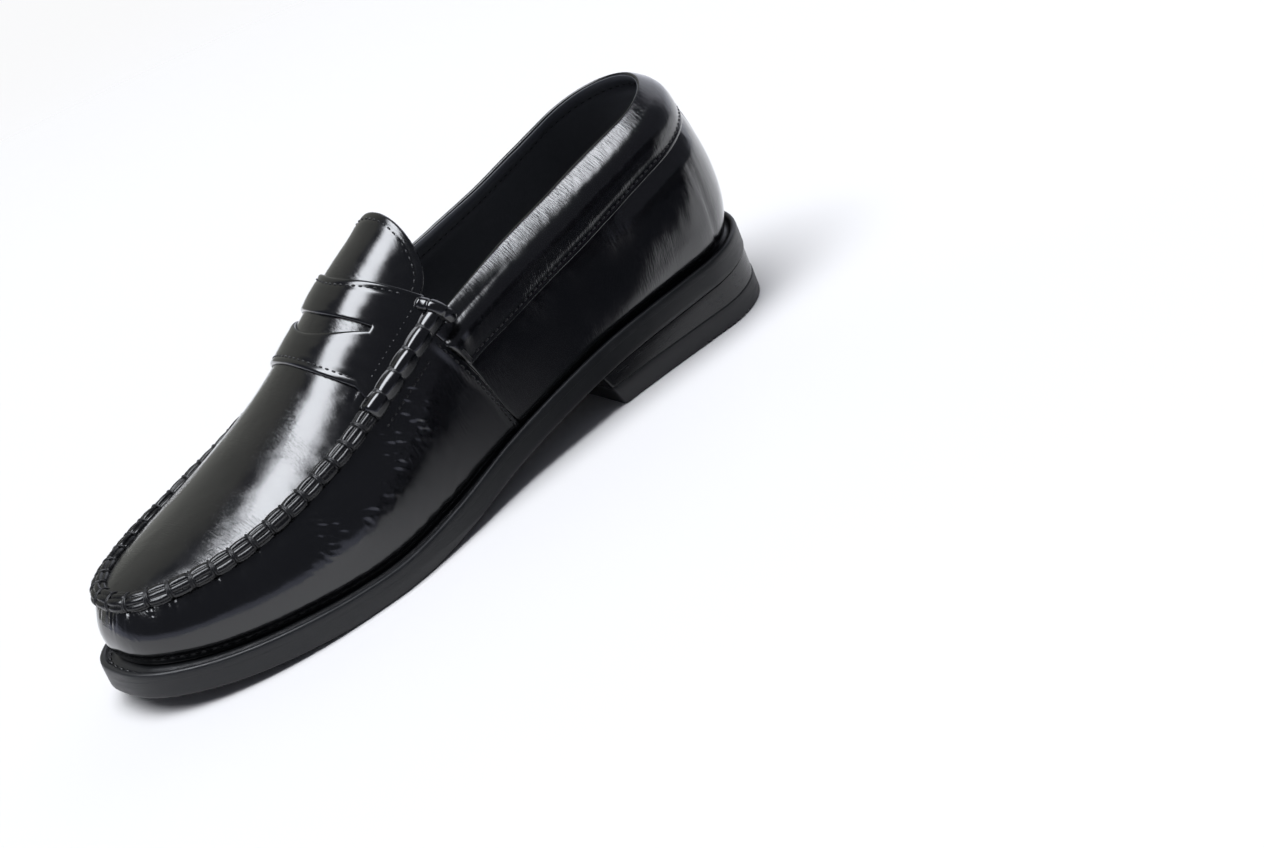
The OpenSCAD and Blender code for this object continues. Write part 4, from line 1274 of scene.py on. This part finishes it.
def smooth_path(p, n):
    """Even points on a smooth line through p."""
    p = np.asarray(p, float)
    u = np.linspace(0, len(p) - 1, n)
    i = np.clip(np.floor(u).astype(int), 0, len(p) - 2)
    s = (u - i)[:, None]
    m = np.gradient(p, axis=0)
    return ((2 * s**3 - 3 * s * s + 1) * p[i] + (s**3 - 2 * s * s + s) * m[i]
            + (3 * s * s - 2 * s**3) * p[i + 1] + (s**3 - s * s) * m[i + 1])


def over_ridge(q, skew, r, point=ridge_point, low=-24, high=204):
    """Path of a thread that comes up at the foot of a rail and dives down on its other side."""
    a = np.linspace(low, high, 24)
    dive = 1 - 0.3 * (np.abs(a - 90) / (high - 90)) ** 8
    return point(q + skew * (a - 90) / 90, a, r * dive)


def build_wraps():
    parts = []
    e = 0.01
    for i in range(WRAPS):
        c = i + 0.5
        q = float(np.interp(ridge_zero + c * CELL, ridge_s, ridge_q))
        per_mm = 2 * e / float(np.linalg.norm(top_rail(np.array(q + e)) - top_rail(np.array(q - e))))
        j = rng.uniform(-1, 1, 8)
        for shift, skew, radius, lift in WRAP_STRANDS:
            at = q + (shift + 0.15 * j[0]) * per_mm
            path = over_ridge(at, (skew + 0.2 * j[1]) * per_mm, RIDGE_R * 0.87 + lift)
            up = unit(path - (top_rail(np.array(q)) + [0, 0, RIDGE_RISE]))
            parts.append(tube_parts(cord_rings(path, radius * (1 + 0.08 * j[3]), 8, 0.85, up)))
    add_threads("seam_threads", parts, "moc_thread")


def roll_shape(f):
    lobe = np.abs(np.sin(np.pi * LOBES * f)) ** 0.5
    return ROLL_R * (0.83 + 0.17 * lobe)


def roll_cap(sign):
    """Small fold of the strap across the back end of a roll: (verts, faces)."""
    path = []
    for t, aside, lift in ((142.2, -4, 8), (141.8, -2.6, 6.5), (141.4, -0.8, 5.4),
                           (141, 1.2, 4.5), (140.6, 3, 2.9), (140.3, 4.3, 0.8), (140, 5, -1.6),
                           (139.8, 5.1, -3.6)):
        q = side_walk(t, sign)
        path.append(top_rail(q) + rail_side(q) * aside + rail_up(q) * lift)
    path = smooth_path(np.array(path), 70)
    k = np.linspace(0, 1, len(path))
    radius = 2.5 * np.sqrt(1 - np.clip(1 - np.minimum(k, 1 - k) * 9, 0, 0.98) ** 2)
    waist, second = (0.12 * np.exp(-((k - at) / 0.03) ** 2) for at in (0.36, 0.72))
    radius = radius * (1 - waist - second)
    middle = top_rail(side_walk(THROAT_T, sign))
    return tube_parts(cord_rings(path, radius, 20, 0.85, unit(path - middle)))


def build_rolls():
    bindings = []
    for name, sign, q0, q1, node in (
            ("lateral_roll", 1.0, ROLL_FROM, ROLL_TO, "lateral_beef_roll"),
            ("medial_roll", -1.0, 2 - ROLL_FROM, 2 - ROLL_TO, "medial_beef_roll")):
        f = np.linspace(0, 1, 260)
        a = np.linspace(0, 360, 72, endpoint=False)
        ff, aa = np.meshgrid(f, a, indexing="ij")
        rad = np.radians(aa)
        across, upward = np.abs(np.cos(rad)), np.abs(np.sin(rad))
        square = (across**ROLL_SQUARE + upward**ROLL_SQUARE) ** (-1 / ROLL_SQUARE)
        r = roll_shape(ff) * square * (1.08 + 0.1 * across)
        close = np.minimum(ff, 1 - ff) * 42
        r = r * np.sqrt(1 - np.clip(1 - close / 2.2, 0, 0.97) ** 2)
        r = r * (1 + 0.012 * np.sin(aa / 11 + np.floor(ff * LOBES) * 2.1))
        p = rail_point(mix(q0, q1, ff), aa, r)
        v, faces = joined([tube_parts(p), roll_cap(sign)])
        add(name, place(v), faces, leather_strap, [node])
        for k in range(1, LOBES):
            q = mix(q0, q1, k / LOBES)
            path = over_ridge(q, 0.0, ROLL_R * 0.94, rail_point, -34, 205)
            up = unit(path - (top_rail(np.array(q)) + [0, 0, RIDGE_RISE]))
            bindings.append(tube_parts(cord_rings(path, 0.95, 12, 0.42, up)))
        # Rows of stitches along both sides of the roll
        q = even(top_rail, *sorted((mix(q0, q1, 0.3), mix(q0, q1, 0.97))), 0.6)
        v = 1 - (ROLL_R + 2.6) / wall_len(q)
        bindings += stitch_row(wall_in(q, v, 0.0), wall_out(q, v), 2.4, 0.6, 0.42, lift=0.25)
        t = np.linspace(145, 176, 80)
        x = smooth(DRIFT, t) + strap_x(t, sign) - sign * 2.4
        path = crown(t, x, STRAP_LIFT + STRAP_T - 0.15)
        bindings += stitch_row(path, crown_normal(t, x), 2.4, 0.6, 0.42, lift=0.25)
    add_threads("roll_threads", bindings, "roll_bindings")


build_ridge()
build_wraps()
build_rolls()

# ---- CAD pieces that stay ---------------------------------------------------------------

for node, mat in (("heel_nails", steel_mat), ("cork_filler", cork_mat), ("shank", steel_mat),
                  ("insole_board", board_mat), ("toe_puff", stiff_mat),
                  ("heel_counter", stiff_mat)):
    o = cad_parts[node]
    o.data.materials.clear()
    o.data.materials.append(mat)

# ---- Floor, light and camera --------------------------------------------------------------


FLOOR_RINGS, FLOOR_SIDES = (0.25, 0.5, 1.0, 3.0), 64


def build_floor():
    bm = bmesh.new()
    centre = bm.verts.new((0, 0, 0))
    last = None
    for r in FLOOR_RINGS:
        ring = [bm.verts.new((r * math.cos(a), r * math.sin(a), 0))
                for a in np.linspace(0, 2 * np.pi, FLOOR_SIDES, endpoint=False)]
        for k in range(FLOOR_SIDES):
            after = (k + 1) % FLOOR_SIDES
            if last is None:
                bm.faces.new((centre, ring[k], ring[after]))
            else:
                bm.faces.new((last[k], ring[k], ring[after], last[after]))
        last = ring
    mesh = bpy.data.meshes.new("floor")
    bm.to_mesh(mesh)
    bm.free()
    floor = bpy.data.objects.new("floor", mesh)
    bpy.context.scene.collection.objects.link(floor)
    m, t, p = new_material("pale_floor")
    p.inputs["Base Color"].default_value = (0.74, 0.728, 0.716, 1)
    p.inputs["Roughness"].default_value = 0.7
    p.inputs["Specular IOR Level"].default_value = 0.2
    tex = t.nodes.new("ShaderNodeTexCoord")
    length = t.nodes.new("ShaderNodeVectorMath")
    length.operation = "LENGTH"
    link(t, tex.outputs["Object"], length.inputs[0])
    fade = remap(t, length.outputs["Value"], 0.35, 0.9, 1.0, 0.0, "SMOOTHSTEP")
    link(t, fade, p.inputs["Alpha"])
    mesh.materials.append(m)


BACKDROP = (0.955, 0.957, 0.965)
# The overhead soft box: middle and half size where it crosses a plane one metre up, edge, colour
OVERHEAD = ((-0.03, -0.3), (0.22, 0.57), 0.1, (10.2, 10.5, 11.1))
AMBIENT = (0.105, 0.111, 0.135)
# Soft walls around the shoe: azimuths, top elevation and softness in degrees, colour.
# Azimuth 0 is the toe's direction and 90 the outer side's.
WALLS = [((-122, -58), 60, 10, (0.21, 0.208, 0.165)),
         ((-176, -128), 42, 8, (0.8, 0.82, 0.9)),
         ((-60, 112), 7, 6, (0.42, 0.44, 0.56))]


def vector(t, kind, a, b=None, scale=None):
    n = t.nodes.new("ShaderNodeVectorMath")
    n.operation = kind
    for k, v in enumerate((a, b)):
        if v is None:
            continue
        if isinstance(v, (tuple, Vector)):
            n.inputs[k].default_value = v
        else:
            link(t, v, n.inputs[k])
    if scale is not None:
        link(t, scale, n.inputs["Scale"])
    return n


def build_world():
    world = bpy.data.worlds.new("studio")
    world.use_nodes = True
    bpy.context.scene.world = world
    t = world.node_tree
    t.nodes.clear()
    direction = t.nodes.new("ShaderNodeTexCoord").outputs["Generated"]
    split = t.nodes.new("ShaderNodeSeparateXYZ")
    link(t, direction, split.inputs[0])
    x, y, up = split.outputs
    layers = []
    around = maths(t, "ARCTAN2", x, maths(t, "MULTIPLY", y, -1))
    for (az0, az1), high, soft, colour in WALLS:
        a0, a1, s = (math.radians(v) for v in (az0, az1, soft / 2))
        mask = maths(t, "MULTIPLY", remap(t, around, a0 - s, a0 + s, 0, 1, "SMOOTHSTEP"),
                     remap(t, around, a1 - s, a1 + s, 1, 0, "SMOOTHSTEP"))
        top = [math.sin(math.radians(high + k * soft / 2)) for k in (-1, 1)]
        mask = maths(t, "MULTIPLY", mask, remap(t, up, *top, 1, 0, "SMOOTHSTEP"))
        layers.append((mask, colour))
    # Overhead soft box
    high = maths(t, "MAXIMUM", up, 0.05)
    (u0, v0), (du, dv), edge, colour = OVERHEAD
    u = maths(t, "ABSOLUTE", maths(t, "SUBTRACT", maths(t, "DIVIDE", x, high), u0), 0)
    v = maths(t, "ABSOLUTE", maths(t, "SUBTRACT", maths(t, "DIVIDE", y, high), v0), 0)
    mask = maths(t, "MULTIPLY", remap(t, u, du + edge, du - edge, 0, 1, "SMOOTHSTEP"),
                 remap(t, v, dv + edge, dv - edge, 0, 1, "SMOOTHSTEP"))
    layers.append((mask, colour))
    total = AMBIENT
    for mask, colour in layers:
        lit = vector(t, "SCALE", colour, scale=mask).outputs["Vector"]
        total = vector(t, "ADD", total, lit).outputs["Vector"]
    studio = t.nodes.new("ShaderNodeBackground")
    link(t, total, studio.inputs["Color"])
    backdrop = t.nodes.new("ShaderNodeBackground")
    backdrop.inputs["Color"].default_value = (*BACKDROP, 1)
    path = t.nodes.new("ShaderNodeLightPath")
    pick = t.nodes.new("ShaderNodeMixShader")
    link(t, path.outputs["Is Camera Ray"], pick.inputs[0])
    link(t, studio.outputs[0], pick.inputs[1])
    link(t, backdrop.outputs[0], pick.inputs[2])
    out = t.nodes.new("ShaderNodeOutputWorld")
    link(t, pick.outputs[0], out.inputs["Surface"])


# Where the camera stands, the direction it is in (azimuth, elevation), its roll and its lens in mm
CAMERA_AT = (0.871, -0.429, 0.432)
CAMERA_VIEW = (59.9, 24.4)
CAMERA_ROLL = -22.6
CAMERA_LENS = 84.75


def build_camera():
    """Seen from in front of the outer side, a little above, rolled as if the heel were tipped up."""
    data = bpy.data.cameras.new("camera")
    data.sensor_fit = "HORIZONTAL"
    data.sensor_width = 36
    data.lens = CAMERA_LENS
    cam = bpy.data.objects.new("camera", data)
    bpy.context.scene.collection.objects.link(cam)
    a, e = (math.radians(v) for v in CAMERA_VIEW)
    back = Vector((math.sin(a) * math.cos(e), -math.cos(a) * math.cos(e), math.sin(e)))
    turn = (-back).to_track_quat("-Z", "Y").to_matrix()
    roll = Matrix.Rotation(math.radians(CAMERA_ROLL), 3, "Z")
    cam.matrix_world = Matrix.Translation(CAMERA_AT) @ (turn @ roll).to_4x4()
    data.clip_start, data.clip_end = 0.05, 50
    bpy.context.scene.camera = cam


def build_flag():
    """Dark cards behind and beside the heel, seen only in the leather's gloss."""
    low, high = 0.004, 0.1
    near = [(0.046, -0.1), (0.04, 0.03), (0.036, 0.08), (0.034, 0.125)]
    far = [(0.75, 0.19), (0.66, 0.55), (0.5, 0.75), (0.2, 0.8)]
    standing = [(0.35, 0.03), (0.27, 0.25), (0.15, 0.34), (0.03, 0.38)]
    verts = [(x, y, low) for x, y in near + far[::-1]]
    faces = [(k, k + 1, 6 - k, 7 - k) for k in range(3)]
    base = len(verts)
    verts += [(x, y, z) for z in (low, high) for x, y in standing]
    faces += [(base + k, base + k + 1, base + k + 5, base + k + 4) for k in range(3)]
    mesh = bpy.data.meshes.new("flag")
    mesh.from_pydata(verts, [], faces)
    card = bpy.data.objects.new("flag", mesh)
    bpy.context.scene.collection.objects.link(card)
    m, t, p = new_material("flag_cloth")
    p.inputs["Base Color"].default_value = (0.03, 0.033, 0.04, 1)
    p.inputs["Roughness"].default_value = 1.0
    p.inputs["Specular IOR Level"].default_value = 0.0
    place_at = coords(t, (1, 1, 1))
    front = maths(t, "ADD", vector(t, "DOT_PRODUCT", place_at, (-0.42, 1, 0)).outputs["Value"], 0.12)
    rear = maths(t, "ADD", vector(t, "DOT_PRODUCT", place_at, (1, -0.583, 0)).outputs["Value"], 0.017)
    edges = maths(t, "MULTIPLY", remap(t, front, 0, 0.18, 0, 1, "SMOOTHSTEP"),
                  remap(t, rear, 0, 0.022, 0, 1, "SMOOTHSTEP"))
    link(t, edges, p.inputs["Alpha"])
    mesh.materials.append(m)
    card.visible_camera = False
    card.visible_diffuse = False
    card.visible_shadow = False
    card.visible_transmission = False


build_floor()
build_flag()
build_world()
build_camera()

scene = bpy.context.scene
scene.view_settings.view_transform = "Standard"
scene.view_settings.look = "None"
scene.view_settings.exposure = 0
scene.view_settings.gamma = 1
